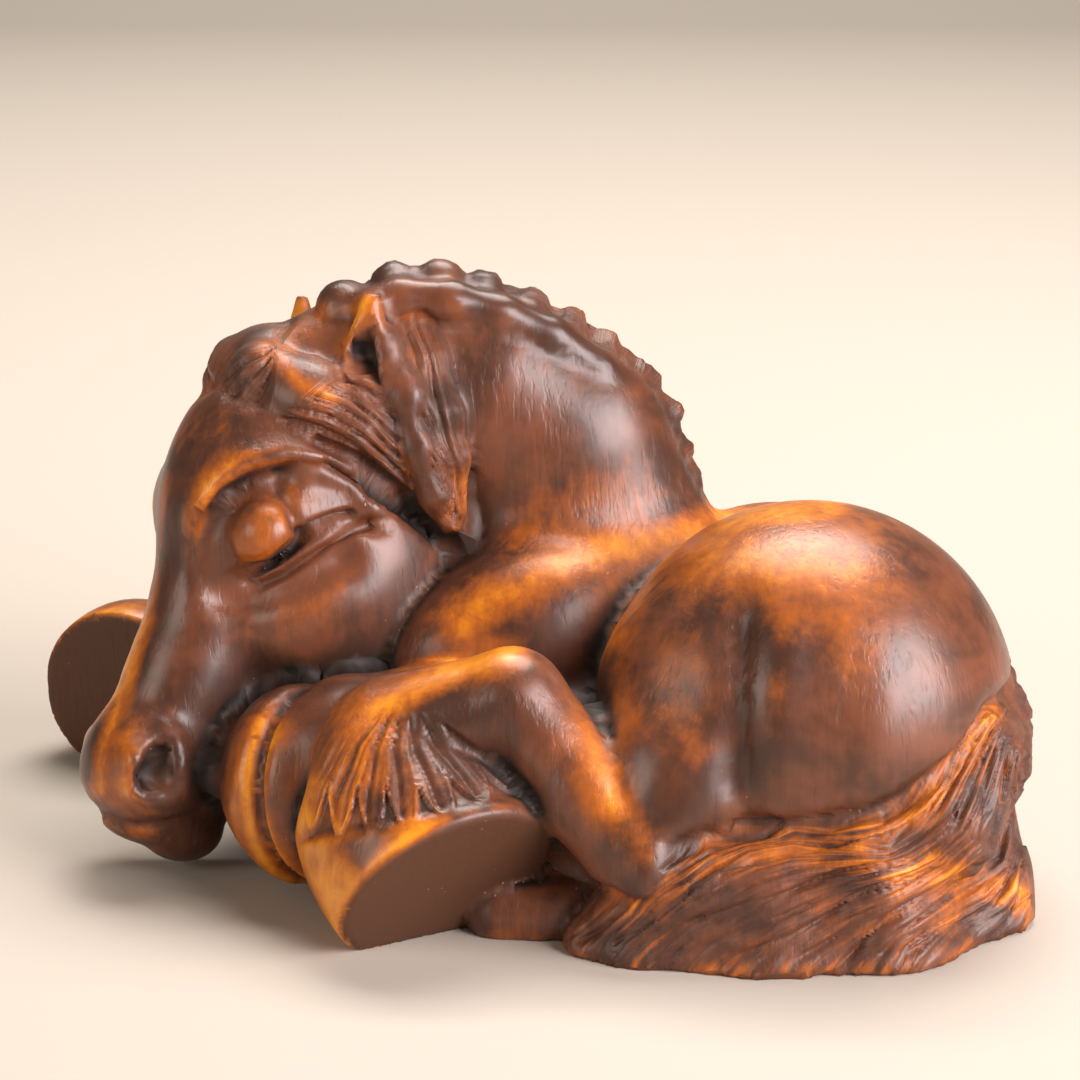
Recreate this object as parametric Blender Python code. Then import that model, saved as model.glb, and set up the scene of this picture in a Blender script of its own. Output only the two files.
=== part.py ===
"""A sleeping horse, curled up and carved from one piece of stained boxwood.

The carving is a field of distances: below zero is wood, above zero is air.
Masses are melted together in it, hollows are carved out of it, and a skin is laid on its zero.
Its points are in grains, shares of the carving's length, with x to the rump, y to the far side, z up.
"""
import math

import bpy
import bmesh
import numpy as np
from mathutils import Matrix, Vector

for old in list(bpy.data.objects):
    bpy.data.objects.remove(old)

# Driving dimensions, in metres
LENGTH = 0.05925
CORD_HOLE = 0.0032
CORD_SPAN = 0.0095
CORD_DEPTH = 0.0055
CORD_LIP = 0.0008
CORD_PLACE = (0.004, 0.003)

# The carving's own measure, and its middle and floor, in grains
CARVED_LENGTH = 59.25
GRAIN = LENGTH / CARVED_LENGTH
MIDDLE = (-2.242, -0.762)

# Skin
FIELD_LOW = (-34.0, -24.0, -1.6)
FIELD_HIGH = (30.0, 23.0, 36.8)
BLOCK = 0.8
FIRST_SKIN = 0.8
FINE_SKIN = 0.62
FIRST_REACH = 0.8
FINE_REACH = 0.3
PRESS_ROUNDS = 4
PROBE = 0.05
LEAST_SLOPE = 0.15
UNDERCUT = 0.6
TRIANGLES = 9000
CREASE = 50
CORD_STEPS = 14
CORD_SIDES = 20

# How widely two masses melt
CRISP = 0.3
CLOSE = 0.5
SOFT = 0.8
ROUND = 1.5
BROAD = 3.0

# Body: centre and radii
BARREL = ((3.0, 5.0, 9.0), (13.0, 11.5, 9.0))
RUMP = ((16.0, -1.0, 10.5), (9.5, 9.0, 9.3))
CHEST = ((-1.0, -1.5, 11.0), (7.0, 6.0, 6.8))
FAR_SHOULDER = ((-4.0, 8.0, 9.0), (9.0, 8.0, 8.5))
BELLY = ((5.0, 1.5, 4.0), (16.0, 13.0, 6.0))
FLANK = ((0.0, -9.0, 2.5), (7.5, 5.5, 3.6))
# Limbs: points of a line with the radius at each
SHOULDER_RIDGE = [(-5.0, -4.0, 12.4, 3.0), (0.5, -2.0, 14.4, 3.0), (6.0, 1.0, 14.6, 3.2)]
NECK = [(1.0, 6.0, 10.0, 9.3), (1.8, 5.5, 17.0, 8.2), (0.4, 5.0, 22.0, 7.4),
        (-3.8, 4.4, 25.2, 6.8), (-8.5, 3.6, 26.6, 5.8), (-12.0, 2.6, 26.0, 5.2)]
NECK_MIDDLE = 5.0
NECK_THICKNESS = 0.78

# Mane
ROLL = [(-9.6, 1.4, 31.6), (-8.0, 1.5, 32.1), (-5.1, 1.5, 31.9), (-2.3, 1.9, 31.1), (0.6, 2.3, 29.7),
        (3.3, 2.8, 27.6), (5.4, 3.2, 24.8), (6.6, 3.6, 21.8), (7.0, 3.6, 19.4)]
ROLL_RADIUS = 1.2
CREST = [(-11.3, 3.0, 31.3, 1.7), (-8.4, 3.7, 32.5, 1.5), (-5.8, 3.8, 32.7, 1.5), (-3.3, 4.1, 32.1, 1.4),
         (-0.6, 4.3, 31.15, 1.3), (1.7, 4.6, 29.85, 1.25), (3.75, 5.0, 28.35, 1.2), (5.8, 5.4, 26.55, 1.15),
         (7.2, 5.8, 24.3, 1.1), (7.95, 6.0, 21.9, 1.05), (8.3, 6.0, 19.6, 1.0)]
LOCK_SIDE = 4.6
LOCK_DROP = 9.5
LOCK_WAVE = 0.9
LOCK_PITCH = 2.4
LOCK_RISE = 0.8
LOCK_GROOVE = 0.5
BEHIND_EAR = [(-7.4, 1.3, 31.0, 0.9), (-6.5, -0.1, 29.0, 0.9), (-5.5, -1.3, 26.0, 1.0), (-5.0, -1.8, 23.5, 0.9),
              (-4.8, -2.0, 20.5, 0.6)]
FAN = [(-8.6, 0.1, 29.6, 1.3), (-7.5, -0.9, 26.8, 1.6), (-6.7, -1.5, 24.0, 1.5), (-5.9, -1.9, 21.5, 1.1),
       (-5.1, -2.1, 19.6, 0.6)]

# The head has axes of its own: out to the side, up from the bridge of the nose, down to the muzzle
HEAD_PLACE = (-16.1, 0.1, 18.4)
HEAD_SIDE = (0.44, -0.88, 0.17)
HEAD_DOWN = (-0.337, -0.28, -0.9)
HEAD_FRONT = (-0.84, -0.34, 0.42)
SKULL = ((0.0, 0.5, -4.0), (5.8, 6.0, 7.5))
FOREHEAD = ((0.0, 1.9, -2.0), (5.4, 4.5, 6.0))
CHEEK = ((3.2, -4.5, 1.0), (3.9, 6.6, 6.8))
NOSE = [(0.0, 1.4, 0.0, 4.4), (0.0, 1.5, 9.0, 3.3), (0.0, 2.0, 14.0, 3.6)]
MUZZLE = ((0.0, 1.7, 15.0), (4.1, 4.0, 4.0))
NOSTRIL_BUMP = ((2.8, 2.9, 14.4), 2.0)
JAW = [(0.0, -4.5, 4.0, 3.2), (0.0, -1.6, 14.5, 2.4)]
LOWER_LIP = ((0.0, -0.8, 17.2), (2.6, 2.6, 2.2))
NOSTRIL = [(4.9, 3.4, 13.7, 0.75), (4.7, 2.7, 15.0, 0.85)]
NOSTRIL_RIM = [(3.6, 13.4), (2.8, 15.2)]
RIM_RADIUS = 1.5
RIM_RISE = 0.35
RIM_WIDTH = 0.6
SIDE_START = 2.0
SIDE_FADE = 2.0
EYEBALL = ((4.75, 1.75, 0.1), (2.2, 2.0, 2.1))
LID = [(4.5, 0.2, -1.6, 1.7), (4.8, -2.2, -3.0, 1.2)]
# Lines drawn on the side of the head, in its up and down axes: depth, width and points
BROW = (-0.7, 0.9, [(5.4, 2.8), (5.8, 0.6), (5.4, -1.6), (4.3, -3.3), (2.4, -4.4), (0.2, -4.9), (-1.9, -4.6),
                    (-3.4, -3.6)])
ORBIT = (1.1, 0.85, [(2.6, 4.2), (3.7, 3.1), (4.3, 1.7), (4.4, 0.1), (4.1, -1.3), (3.4, -2.4), (2.2, -3.1)])
UNDER_EYE = (0.5, 1.3, [(1.2, 3.4), (-0.4, 1.6), (-2.4, 0.2)])
LASHES = (0.35, 0.5, [(2.6, 3.4), (1.5, 1.8), (0.2, 0.2), (-1.1, -1.1), (-2.6, -2.1), (-4.2, -2.5)])
MOUTH = (0.45, 0.4, [(5.8, 17.0), (4.6, 17.7), (3.0, 18.0), (1.2, 17.4), (-0.6, 16.2)])
FORELOCK = ((-1.0, 2.2, -7.6), (4.6, 3.8, 4.6))
CROWN = ((0.3, -1.6, -11.0), (3.7, 3.8, 4.2))
FORELOCK_CURL = ((-2.8, 4.2, -9.4), (1.5, 1.3, 1.3))
TEMPLE = [(2.0, 3.8, -8.3, 2.2), (4.0, 1.4, -7.9, 2.3), (4.9, -1.6, -7.5, 2.2), (4.7, -4.6, -6.6, 2.0),
          (4.3, -7.2, -5.1, 1.5), (4.0, -8.9, -4.0, 0.9)]
EAR = [(5.0, -1.0, -10.2, 1.9), (5.4, 0.5, -14.6, 0.5)]
EAR_HOLLOW = [(6.5, 0.3, -10.9, 1.15), (6.2, 0.9, -13.6, 0.4)]

# Hind leg in front
THIGH = ((15.0, -8.5, 11.0), 11.4)
GASKIN = [(8.8, -11.0, 12.5, 5.6), (7.6, -14.4, 8.6, 4.6), (6.4, -17.0, 5.2, 3.2)]
THIGH_GROOVE = (0.45, 1.1, [(10.6, -16.0, 19.0), (10.2, -19.5, 15.5), (10.6, -19.5, 10.5)])
THIGH_HOLLOW = (0.3, 1.5, [(16.0, -19.0, 17.0), (15.4, -20.0, 12.0), (14.6, -20.0, 8.5)])
CANNON = [(6.3, -17.7, 4.8, 3.0), (2.4, -15.8, 8.6, 2.7), (-1.4, -13.8, 12.9, 2.8)]
PASTERN = [(-1.6, -13.8, 12.9, 2.8), (-7.6, -12.6, 10.0, 4.0)]
FETLOCK = ((-8.2, -13.6, 9.0), (4.2, 4.0, 4.0))
# A hoof: middle of the sole, the way the sole faces, the way the toe points,
# radius at the sole and at the top, height, slope of the toe
NEAR_HIND_HOOF = ((-4.9, -17.5, 3.7), (0.42, -0.72, -0.55), (-0.886, -0.176, -0.43), 5.8, 5.3, 7.5, -0.04)
FAR_FORE_HOOF = ((-26.8, 12.3, 4.5), (-0.4, -0.9, -0.12), (-0.62, 0.0, -0.78), 5.5, 4.4, 5.0, 0.05)
FAR_HIND_HOOF = ((-7.2, 15.2, 3.0), (-0.5, 0.45, -0.74), (-0.8, 0.1, 0.5), 4.6, 3.4, 5.0, 0.2)
HOOF_LENGTH = 1.08
HOOF_BULGE = 0.45

# The other legs
NEAR_FORELEG = [(1.0, -5.0, 7.0, 5.5), (-5.0, -7.4, 8.4, 4.4), (-10.4, -8.9, 8.4, 4.2)]
NEAR_PASTERN = ((-10.8, -9.0, 8.2), (4.6, 4.4, 4.5))
NEAR_FORE_HOOF = ((-13.5, -8.5, 6.2), (4.5, 4.8, 5.8))
NEAR_FORE_SOLE = (-0.72, 0.1, -0.68)
NEAR_FORE_LENGTH = 4.7
CHIN_REST = ((-16.6, -5.8, 7.4), 2.2)
CORONET = (-13.1, -9.0, 8.6)
CORONET_FACING = (-0.77, 0.62, -0.12)
CORONET_DEPTH = 0.8
CORONET_WIDTH = 0.5
CORONET_END = -9.0
FAR_FORELEG = [(-6.0, 9.0, 7.0, 6.5), (-14.0, 14.0, 5.6, 4.4), (-21.0, 15.8, 5.2, 3.7), (-24.5, 16.2, 5.8, 3.8)]
FAR_THIGH = ((14.5, 6.0, 9.2), 9.6)
FAR_GASKIN = [(7.0, 10.0, 8.0, 6.0), (3.0, 14.0, 5.0, 3.8), (6.5, 15.8, 3.2, 2.9)]
FAR_CANNON = [(6.5, 16.0, 3.0, 2.8), (0.0, 16.0, 3.4, 2.6), (-4.0, 15.0, 3.8, 2.9)]
LOW_LEG = [(8.0, -13.0, 2.2, 3.0), (2.7, -14.6, 0.9, 2.0), (-2.0, -14.0, 1.0, 2.2)]

# Tail
TAIL = [(23.6, -1.0, 13.2, 1.9), (24.4, -5.5, 11.6, 2.3), (24.3, -10.0, 10.6, 2.7), (23.2, -13.4, 9.8, 3.2),
        (21.0, -16.0, 7.2, 3.5), (17.0, -17.0, 5.2, 3.7), (12.0, -17.0, 4.0, 3.8), (8.0, -17.2, 3.8, 3.5),
        (5.0, -17.3, 1.9, 2.4), (2.6, -17.4, 0.8, 1.5)]
TAIL_FOOT = [(23.8, -11.0, 6.0, 2.7), (24.0, -12.6, 1.2, 3.2), (18.0, -16.2, 0.8, 4.4), (12.0, -17.0, 0.8, 4.2),
             (6.0, -17.2, 0.5, 3.0)]
TAIL_LOCK = 2.3
TAIL_GROOVE = 0.4
TAIL_BEND = 13.0
TAIL_GIRTH = 4.0
TAIL_SLANT = 0.55
TAIL_EASE = 6.0
GROOVE_SHARPNESS = 0.6

WOOD_COLOUR = (0.24, 0.075, 0.03, 1.0)
WOOD_ROUGHNESS = 0.38


def unit(v):
    """The direction of v, one long."""
    v = np.asarray(v, float)
    return v / np.linalg.norm(v)


def melt(a, b, width):
    """Union of two fields, rounded where they meet over a width."""
    share = np.clip(0.5 + 0.5 * (b - a) / width, 0, 1)
    return b * (1 - share) + a * share - width * share * (1 - share)


def carve(a, b, width):
    """What two fields have in common, with a rounded edge; with b = -cutter it cuts."""
    return -melt(-a, -b, width)


def ball(p, centre, radii):
    """An ellipsoid."""
    q = p - np.asarray(centre, float)
    r = np.broadcast_to(np.asarray(radii, float), (3,))
    far = np.linalg.norm(q / r, axis=1)
    slope = np.linalg.norm(q / r**2, axis=1) + 1e-9
    return far * (far - 1) / slope


def limb(p, a, b):
    """A round bar from a to b, each given as a point with its radius."""
    start = np.array(a[:3])
    way = np.array(b[:3]) - start
    t = np.clip((p - start) @ way / (way @ way), 0, 1)
    return np.linalg.norm(p - start - t[:, None] * way, axis=1) - (a[3] + t * (b[3] - a[3]))


def chain(p, points, width):
    """Limbs through all the points, melted together."""
    d = limb(p, points[0], points[1])
    for a, b in zip(points[1:-1], points[2:]):
        d = melt(d, limb(p, a, b), width)
    return d


def follow(p, points):
    """For each p the nearest place on a line: length run to it, offset from it, and the line's direction."""
    nearest = np.full(len(p), np.inf)
    run = np.zeros(len(p))
    offset = np.zeros_like(p)
    ahead = np.zeros_like(p)
    done = 0.0
    size = p.shape[1]
    for a, b in zip(points[:-1], points[1:]):
        start = np.array(a[:size])
        way = np.array(b[:size]) - start
        length = np.linalg.norm(way)
        t = np.clip((p - start) @ way / length**2, 0, 1)
        off = p - start - t[:, None] * way
        far = np.linalg.norm(off, axis=1)
        near = far < nearest
        nearest[near] = far[near]
        run[near] = done + t[near] * length
        offset[near] = off[near]
        ahead[near] = way / length
        done += length
    return run, offset, ahead


def drawn(p, depth, width, points):
    """A groove along a line, or a ridge where the depth is below zero."""
    far = np.linalg.norm(follow(p, points)[1], axis=1)
    return depth * np.exp(-(far / width) ** 2)


def ramp(x):
    """0 below 0, 1 above 1, smooth between."""
    x = np.clip(x, 0, 1)
    return x * x * (3 - 2 * x)


def grooves(phase):
    """Sharp grooves between round strands, one for each whole phase."""
    return 1 - np.abs(np.sin(np.pi * phase)) ** GROOVE_SHARPNESS


SIDE = unit(HEAD_SIDE)
DOWN = unit(np.array(HEAD_DOWN) - np.dot(HEAD_DOWN, SIDE) * SIDE)
UP = np.cross(SIDE, DOWN)
UP = UP * np.sign(UP @ np.array(HEAD_FRONT))
HEAD_AXES = np.array([SIDE, UP, DOWN])


def body(p):
    d = ball(p, *BARREL)
    d = melt(d, ball(p, *RUMP), BROAD)
    d = melt(d, ball(p, *CHEST), BROAD)
    d = melt(d, ball(p, *FAR_SHOULDER), BROAD)
    d = melt(d, chain(p, SHOULDER_RIDGE, BROAD), BROAD)
    d = melt(d, ball(p, *BELLY), ROUND)
    return melt(d, ball(p, *FLANK), ROUND)


def neck(p):
    q = p.copy()
    q[:, 1] = NECK_MIDDLE + (p[:, 1] - NECK_MIDDLE) / NECK_THICKNESS
    return chain(q, NECK, ROUND)


def mane(p):
    """The roll along the near edge, and a row of tufts along the crest."""
    d = chain(p, [(*point, ROLL_RADIUS) for point in ROLL], CLOSE)
    for x, y, z, radius in CREST:
        d = melt(d, ball(p, (x, y, z), radius), CRISP)
    return d


def far_locks(p, d):
    """Locks of the mane that hang from the crest on the far side of the neck."""
    run, offset, ahead = follow(p, CREST)
    drop = np.linalg.norm(offset, axis=1)
    ends = LOCK_DROP + LOCK_WAVE * np.cos(math.tau * run / LOCK_PITCH)
    sheet = ramp(p[:, 1] - LOCK_SIDE) * ramp(ends - drop) * ramp(run) * ramp(run.max() - run)
    return d - sheet * (LOCK_RISE - LOCK_GROOVE * grooves(run / LOCK_PITCH + 0.5))


def head(p):
    q = (p - np.array(HEAD_PLACE)) @ HEAD_AXES.T
    m = q.copy()
    m[:, 0] = np.abs(m[:, 0])
    flat = m[:, 1:]
    side = np.clip((m[:, 0] - SIDE_START) / SIDE_FADE, 0, 1)
    d = melt(ball(q, *SKULL), ball(q, *FOREHEAD), ROUND)
    d = melt(d, ball(m, *CHEEK), ROUND)
    d = melt(d, chain(q, NOSE, ROUND), ROUND)
    d = melt(d, ball(q, *MUZZLE), ROUND)
    d = melt(d, ball(m, *NOSTRIL_BUMP), SOFT)
    d = melt(d, limb(q, *JAW), ROUND)
    d = melt(d, ball(q, *LOWER_LIP), CLOSE)
    d = d + side * drawn(flat, *BROW)
    d = d + side * drawn(flat, *ORBIT)
    d = melt(d, ball(m, *EYEBALL), CRISP)
    d = melt(d, limb(m, *LID), CLOSE)
    d = d + side * drawn(flat, *UNDER_EYE)
    d = d + side * drawn(flat, *LASHES)
    rim = np.linalg.norm(follow(flat, NOSTRIL_RIM)[1], axis=1) - RIM_RADIUS
    d = d - RIM_RISE * side * np.exp(-(rim / RIM_WIDTH) ** 2)
    d = carve(d, -limb(m, *NOSTRIL), CRISP)
    d = d + drawn(flat, *MOUTH)
    d = melt(d, hair(q, m), CLOSE)
    ear = carve(limb(m, *EAR), -limb(m, *EAR_HOLLOW), CRISP)
    return melt(d, ear, CLOSE)


def hair(q, m):
    """The forelock, the crown and the band that sweeps over the temple to behind the cheek."""
    d = melt(ball(q, *FORELOCK), ball(q, *CROWN), ROUND)
    d = melt(d, ball(q, *FORELOCK_CURL), CLOSE)
    return melt(d, chain(m, TEMPLE, SOFT), CLOSE)


def hoof(p, sole, facing, toe, radius, top_radius, height, slope):
    """A hoof with a flat sole, an oval wall and a rounded top."""
    n = unit(facing)
    t = unit(np.array(toe) - np.dot(toe, n) * n)
    q = p - np.array(sole)
    up = -(q @ n)
    along = q @ t
    across = q @ np.cross(n, t)
    level = np.clip(up / height, 0, 1)
    r = radius + level * (top_radius - radius) + HOOF_BULGE * np.sin(math.pi * level)
    wall = np.hypot((along + slope * np.maximum(up, 0)) / HOOF_LENGTH, across) - r
    d = carve(wall, -up, CRISP)
    return carve(d, up - height, ROUND)


def near_hind_leg(p):
    d = melt(ball(p, *THIGH), chain(p, GASKIN, ROUND), ROUND)
    return d + drawn(p, *THIGH_GROOVE) + drawn(p, *THIGH_HOLLOW)


def near_hind_foot(p):
    d = melt(chain(p, CANNON, SOFT), limb(p, *PASTERN), SOFT)
    foot = melt(hoof(p, *NEAR_HIND_HOOF), ball(p, *FETLOCK), ROUND)
    return melt(d, foot, CRISP)


def near_foreleg(p):
    sole = (p - np.array(NEAR_FORE_HOOF[0])) @ unit(NEAR_FORE_SOLE) - NEAR_FORE_LENGTH
    foot = melt(carve(ball(p, *NEAR_FORE_HOOF), sole, ROUND), ball(p, *NEAR_PASTERN), CLOSE)
    d = melt(chain(p, NEAR_FORELEG, ROUND), foot, CRISP)
    crease = np.exp(-((p - np.array(CORONET)) @ unit(CORONET_FACING) / CORONET_WIDTH) ** 2)
    return d + CORONET_DEPTH * crease * (p[:, 0] < CORONET_END)


def far_legs(p):
    fore = melt(chain(p, FAR_FORELEG, ROUND), hoof(p, *FAR_FORE_HOOF), CLOSE)
    hind = melt(ball(p, *FAR_THIGH), chain(p, FAR_GASKIN, ROUND), ROUND)
    hind = melt(hind, chain(p, FAR_CANNON, SOFT), SOFT)
    hind = melt(hind, hoof(p, *FAR_HIND_HOOF), CLOSE)
    return melt(fore, hind, SOFT)


def tail(p):
    """The tail, swept round the rump and along the base, with its main locks."""
    d = melt(chain(p, TAIL, ROUND), chain(p, TAIL_FOOT, ROUND), ROUND)
    run, offset, ahead = follow(p, TAIL)
    outward = np.cross(ahead, (0.0, 0.0, 1.0))
    round_it = np.arctan2(offset[:, 2], (offset * outward).sum(axis=1)) * TAIL_GIRTH
    past = np.maximum(run - TAIL_BEND, 0)
    slant = TAIL_SLANT * past * past / (past + TAIL_EASE)
    return d + TAIL_GROOVE * grooves((round_it + slant) / TAIL_LOCK)


def horse(p):
    """The whole field, at points in grains."""
    d = melt(body(p), neck(p), BROAD)
    d = melt(d, melt(chain(p, BEHIND_EAR, SOFT), chain(p, FAN, SOFT), CLOSE), CLOSE)
    d = far_locks(p, melt(d, mane(p), CRISP))
    d = melt(d, far_legs(p), SOFT)
    d = melt(d, near_hind_leg(p), SOFT)
    d = melt(d, near_foreleg(p), CLOSE)
    d = melt(d, chain(p, LOW_LEG, SOFT), CLOSE)
    d = melt(d, ball(p, *CHIN_REST), CLOSE)
    d = melt(d, head(p), CLOSE)
    d = melt(d, near_hind_foot(p), CRISP)
    d = melt(d, tail(p), CRISP)
    return np.maximum(d, -p[:, 2] - UNDERCUT)


def blocks(low, high, size):
    """The faces between the grid's wooden cells and its empty ones, as points and quads."""
    low = np.array(low)
    count = np.ceil((np.array(high) - low) / size).astype(int)
    cells = np.stack(np.meshgrid(*[np.arange(n) for n in count], indexing="ij"), axis=-1).reshape(-1, 3)
    wood = (horse(low + (cells + 0.5) * size) < 0).reshape(count)
    wood = np.pad(wood, 1)
    corners = []
    for axis in range(3):
        step = np.moveaxis(wood, axis, 0)
        for facing in (1, -1):
            here, beyond = (step[:-1], step[1:]) if facing == 1 else (step[1:], step[:-1])
            found = np.argwhere(here & ~beyond)
            u = (axis + 1) % 3
            v = (axis + 2) % 3
            base = np.zeros((len(found), 3), int)
            others = [k for k in range(3) if k != axis]
            base[:, axis] = found[:, 0] + 1
            base[:, others[0]] = found[:, 1]
            base[:, others[1]] = found[:, 2]
            turn = [(0, 0), (1, 0), (1, 1), (0, 1)][::facing]
            quad = np.repeat(base[:, None, :], 4, axis=1)
            for k, (du, dv) in enumerate(turn):
                quad[:, k, u] += du
                quad[:, k, v] += dv
            corners.append(quad)
    corners = np.concatenate(corners).reshape(-1, 3)
    points, index = np.unique(corners, axis=0, return_inverse=True)
    return low + (points - 1) * size, index.reshape(-1, 4)


def places(mesh):
    """All points of a mesh as an array."""
    flat = np.empty(len(mesh.vertices) * 3, np.float32)
    mesh.vertices.foreach_get("co", flat)
    return flat.reshape(-1, 3).astype(float)


def move(mesh, p):
    """Puts the points of a mesh at p."""
    mesh.vertices.foreach_set("co", p.astype(np.float32).ravel())
    mesh.update()


def press(mesh, reach):
    """Moves every point of a mesh along the field's slope to its zero."""
    p = places(mesh)
    probes = np.array([(1, -1, -1), (-1, -1, 1), (-1, 1, -1), (1, 1, 1)], float)
    for _ in range(PRESS_ROUNDS):
        slope = sum(np.outer(horse(p + PROBE * way), way) for way in probes) / (4 * PROBE)
        steep = np.maximum((slope * slope).sum(axis=1), LEAST_SLOPE)
        step = (horse(p) / steep)[:, None] * slope
        length = np.linalg.norm(step, axis=1)
        step *= np.minimum(1, reach / np.maximum(length, 1e-9))[:, None]
        p = p - step
    move(mesh, p)


def apply_modifiers(obj):
    """Replaces the object's mesh by what its modifiers make of it."""
    graph = bpy.context.evaluated_depsgraph_get()
    shaped = bpy.data.meshes.new_from_object(obj.evaluated_get(graph))
    obj.modifiers.clear()
    before = obj.data
    obj.data = shaped
    bpy.data.meshes.remove(before)


def remesh(obj, size):
    """Lays an even skin of quads over the object."""
    skin = obj.modifiers.new("skin", "REMESH")
    skin.mode = "VOXEL"
    skin.voxel_size = size
    apply_modifiers(obj)


def cutter_from(shape, name):
    """A cutter object from a bmesh, shown as wire and not rendered."""
    mesh = bpy.data.meshes.new(name)
    shape.to_mesh(mesh)
    shape.free()
    cutter = bpy.data.objects.new(name, mesh)
    cutter.hide_render = True
    cutter.display_type = "WIRE"
    bpy.context.scene.collection.objects.link(cutter)
    return cutter


def cord_cutter():
    """Two round holes in the underside, joined inside by a bowed channel."""
    radius = CORD_HOLE / 2
    half = CORD_SPAN / 2
    below = CORD_HOLE
    rise = CORD_DEPTH - radius - CORD_LIP
    path = [Vector((-half, 0, -below))]
    for k in range(CORD_STEPS + 1):
        turn = math.pi * k / CORD_STEPS
        path.append(Vector((-half * math.cos(turn), 0, CORD_LIP + rise * math.sin(turn))))
    path.append(Vector((half, 0, -below)))
    tube = bmesh.new()
    rings = []
    for k, point in enumerate(path):
        ahead = (path[min(k + 1, len(path) - 1)] - path[max(k - 1, 0)]).normalized()
        across = Vector((0, 1, 0))
        out = ahead.cross(across)
        ring = []
        for s in range(CORD_SIDES):
            turn = math.tau * s / CORD_SIDES
            ring.append(tube.verts.new(point + radius * (math.cos(turn) * across + math.sin(turn) * out)))
        rings.append(ring)
    for a, b in zip(rings[:-1], rings[1:]):
        for s in range(CORD_SIDES):
            after = (s + 1) % CORD_SIDES
            tube.faces.new((a[s], a[after], b[after], b[s]))
    tube.faces.new(rings[0])
    tube.faces.new(rings[-1])
    bmesh.ops.recalc_face_normals(tube, faces=tube.faces)
    bmesh.ops.translate(tube, verts=tube.verts, vec=(*CORD_PLACE, 0))
    return cutter_from(tube, "cord_channel")


def floor_cutter():
    """A slab whose top is the floor."""
    slab = bmesh.new()
    thick = 4 * UNDERCUT * GRAIN
    size = Matrix.Diagonal((2 * LENGTH, 2 * LENGTH, thick, 1))
    bmesh.ops.create_cube(slab, size=1, matrix=Matrix.Translation((0, 0, -thick / 2)) @ size)
    return cutter_from(slab, "floor_slab")


# Skin of the carving, in grains
points, quads = blocks(FIELD_LOW, FIELD_HIGH, BLOCK)
mesh = bpy.data.meshes.new("sleeping_horse")
mesh.from_pydata(points.tolist(), [], quads.tolist())
piece = bpy.data.objects.new("sleeping_horse", mesh)
bpy.context.scene.collection.objects.link(piece)
remesh(piece, FIRST_SKIN)
press(piece.data, FIRST_REACH)
remesh(piece, FINE_SKIN)
press(piece.data, FINE_REACH)

# Fewer triangles, then to metres with the middle of its underside at the origin
fewer = piece.modifiers.new("fewer", "DECIMATE")
fewer.ratio = TRIANGLES / (2 * len(piece.data.polygons))
fewer.use_collapse_triangulate = True
apply_modifiers(piece)
move(piece.data, (places(piece.data) - np.array([*MIDDLE, 0])) * GRAIN)

# A flat underside at the floor, with the cord holes in it
for cutter in (floor_cutter(), cord_cutter()):
    hollow = piece.modifiers.new(cutter.name, "BOOLEAN")
    hollow.operation = "DIFFERENCE"
    hollow.solver = "EXACT"
    hollow.object = cutter

wood = bpy.data.materials.new("stained_boxwood")
wood.use_nodes = True
look = wood.node_tree.nodes["Principled BSDF"]
look.inputs["Base Color"].default_value = WOOD_COLOUR
look.inputs["Roughness"].default_value = WOOD_ROUGHNESS
piece.data.materials.append(wood)
piece.data.shade_smooth()
piece.data.set_sharp_from_angle(angle=math.radians(CREASE))
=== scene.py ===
# %% [markdown]
# A sleeping horse, curled up, carved from one piece of boxwood about six centimetres long.
# The solid made in CAD holds its main masses. This script carves it finer, stains it and wears it,
# sets it on a pale floor under soft light, and puts the camera where the photographer stood.
# The first cell loads the solid, which is never changed here, and keeps its box.

# %% The CAD solid and its box
import math

import bmesh
import bpy
import numpy as np
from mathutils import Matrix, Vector


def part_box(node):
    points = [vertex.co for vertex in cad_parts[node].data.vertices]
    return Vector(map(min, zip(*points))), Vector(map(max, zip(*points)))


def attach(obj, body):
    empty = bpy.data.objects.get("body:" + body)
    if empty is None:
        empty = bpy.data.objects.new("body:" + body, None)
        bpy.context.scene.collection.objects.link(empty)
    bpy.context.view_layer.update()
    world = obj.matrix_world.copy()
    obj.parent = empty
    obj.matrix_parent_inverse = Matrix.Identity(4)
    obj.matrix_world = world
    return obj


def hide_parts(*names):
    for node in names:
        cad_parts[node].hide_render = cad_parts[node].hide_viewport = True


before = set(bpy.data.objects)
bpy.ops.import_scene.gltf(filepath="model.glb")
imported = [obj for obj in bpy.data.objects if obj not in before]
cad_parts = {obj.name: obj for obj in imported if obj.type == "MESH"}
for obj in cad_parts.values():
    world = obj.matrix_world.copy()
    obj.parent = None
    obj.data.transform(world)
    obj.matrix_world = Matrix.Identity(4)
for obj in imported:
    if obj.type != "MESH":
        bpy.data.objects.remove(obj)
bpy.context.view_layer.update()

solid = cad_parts["sleeping_horse"]
low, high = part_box("sleeping_horse")
CARVED_LENGTH = 59.25
GRAIN = (high[0] - low[0]) / CARVED_LENGTH
MIDDLE = (-2.242, -0.762)
print("one grain is", round(GRAIN * 1000, 3), "mm, and the solid has", len(solid.data.polygons), "faces")

# %% [markdown]
# The camera comes first, because everything is judged through it. The photograph was taken from close by
# with a long lens, looking down by about fifteen degrees. The lens keeps the near hoof from looking too
# big. The carving is described in grains, a sixtieth of its length. They start a little off its middle,
# so the camera's place is given in grains too and moved along with everything else.

# %% The camera
CAMERA_PLACE = (0.0, -156.0, 60.0)
CAMERA_TILT = math.radians(15)
FOCAL_PIXELS = 2780
IMAGE_PIXELS = 1080
SENSOR = 36.0


def to_metres(p):
    """From grains to metres in the solid's frame."""
    return (np.asarray(p, float) - np.array([*MIDDLE, 0])) * GRAIN


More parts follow.
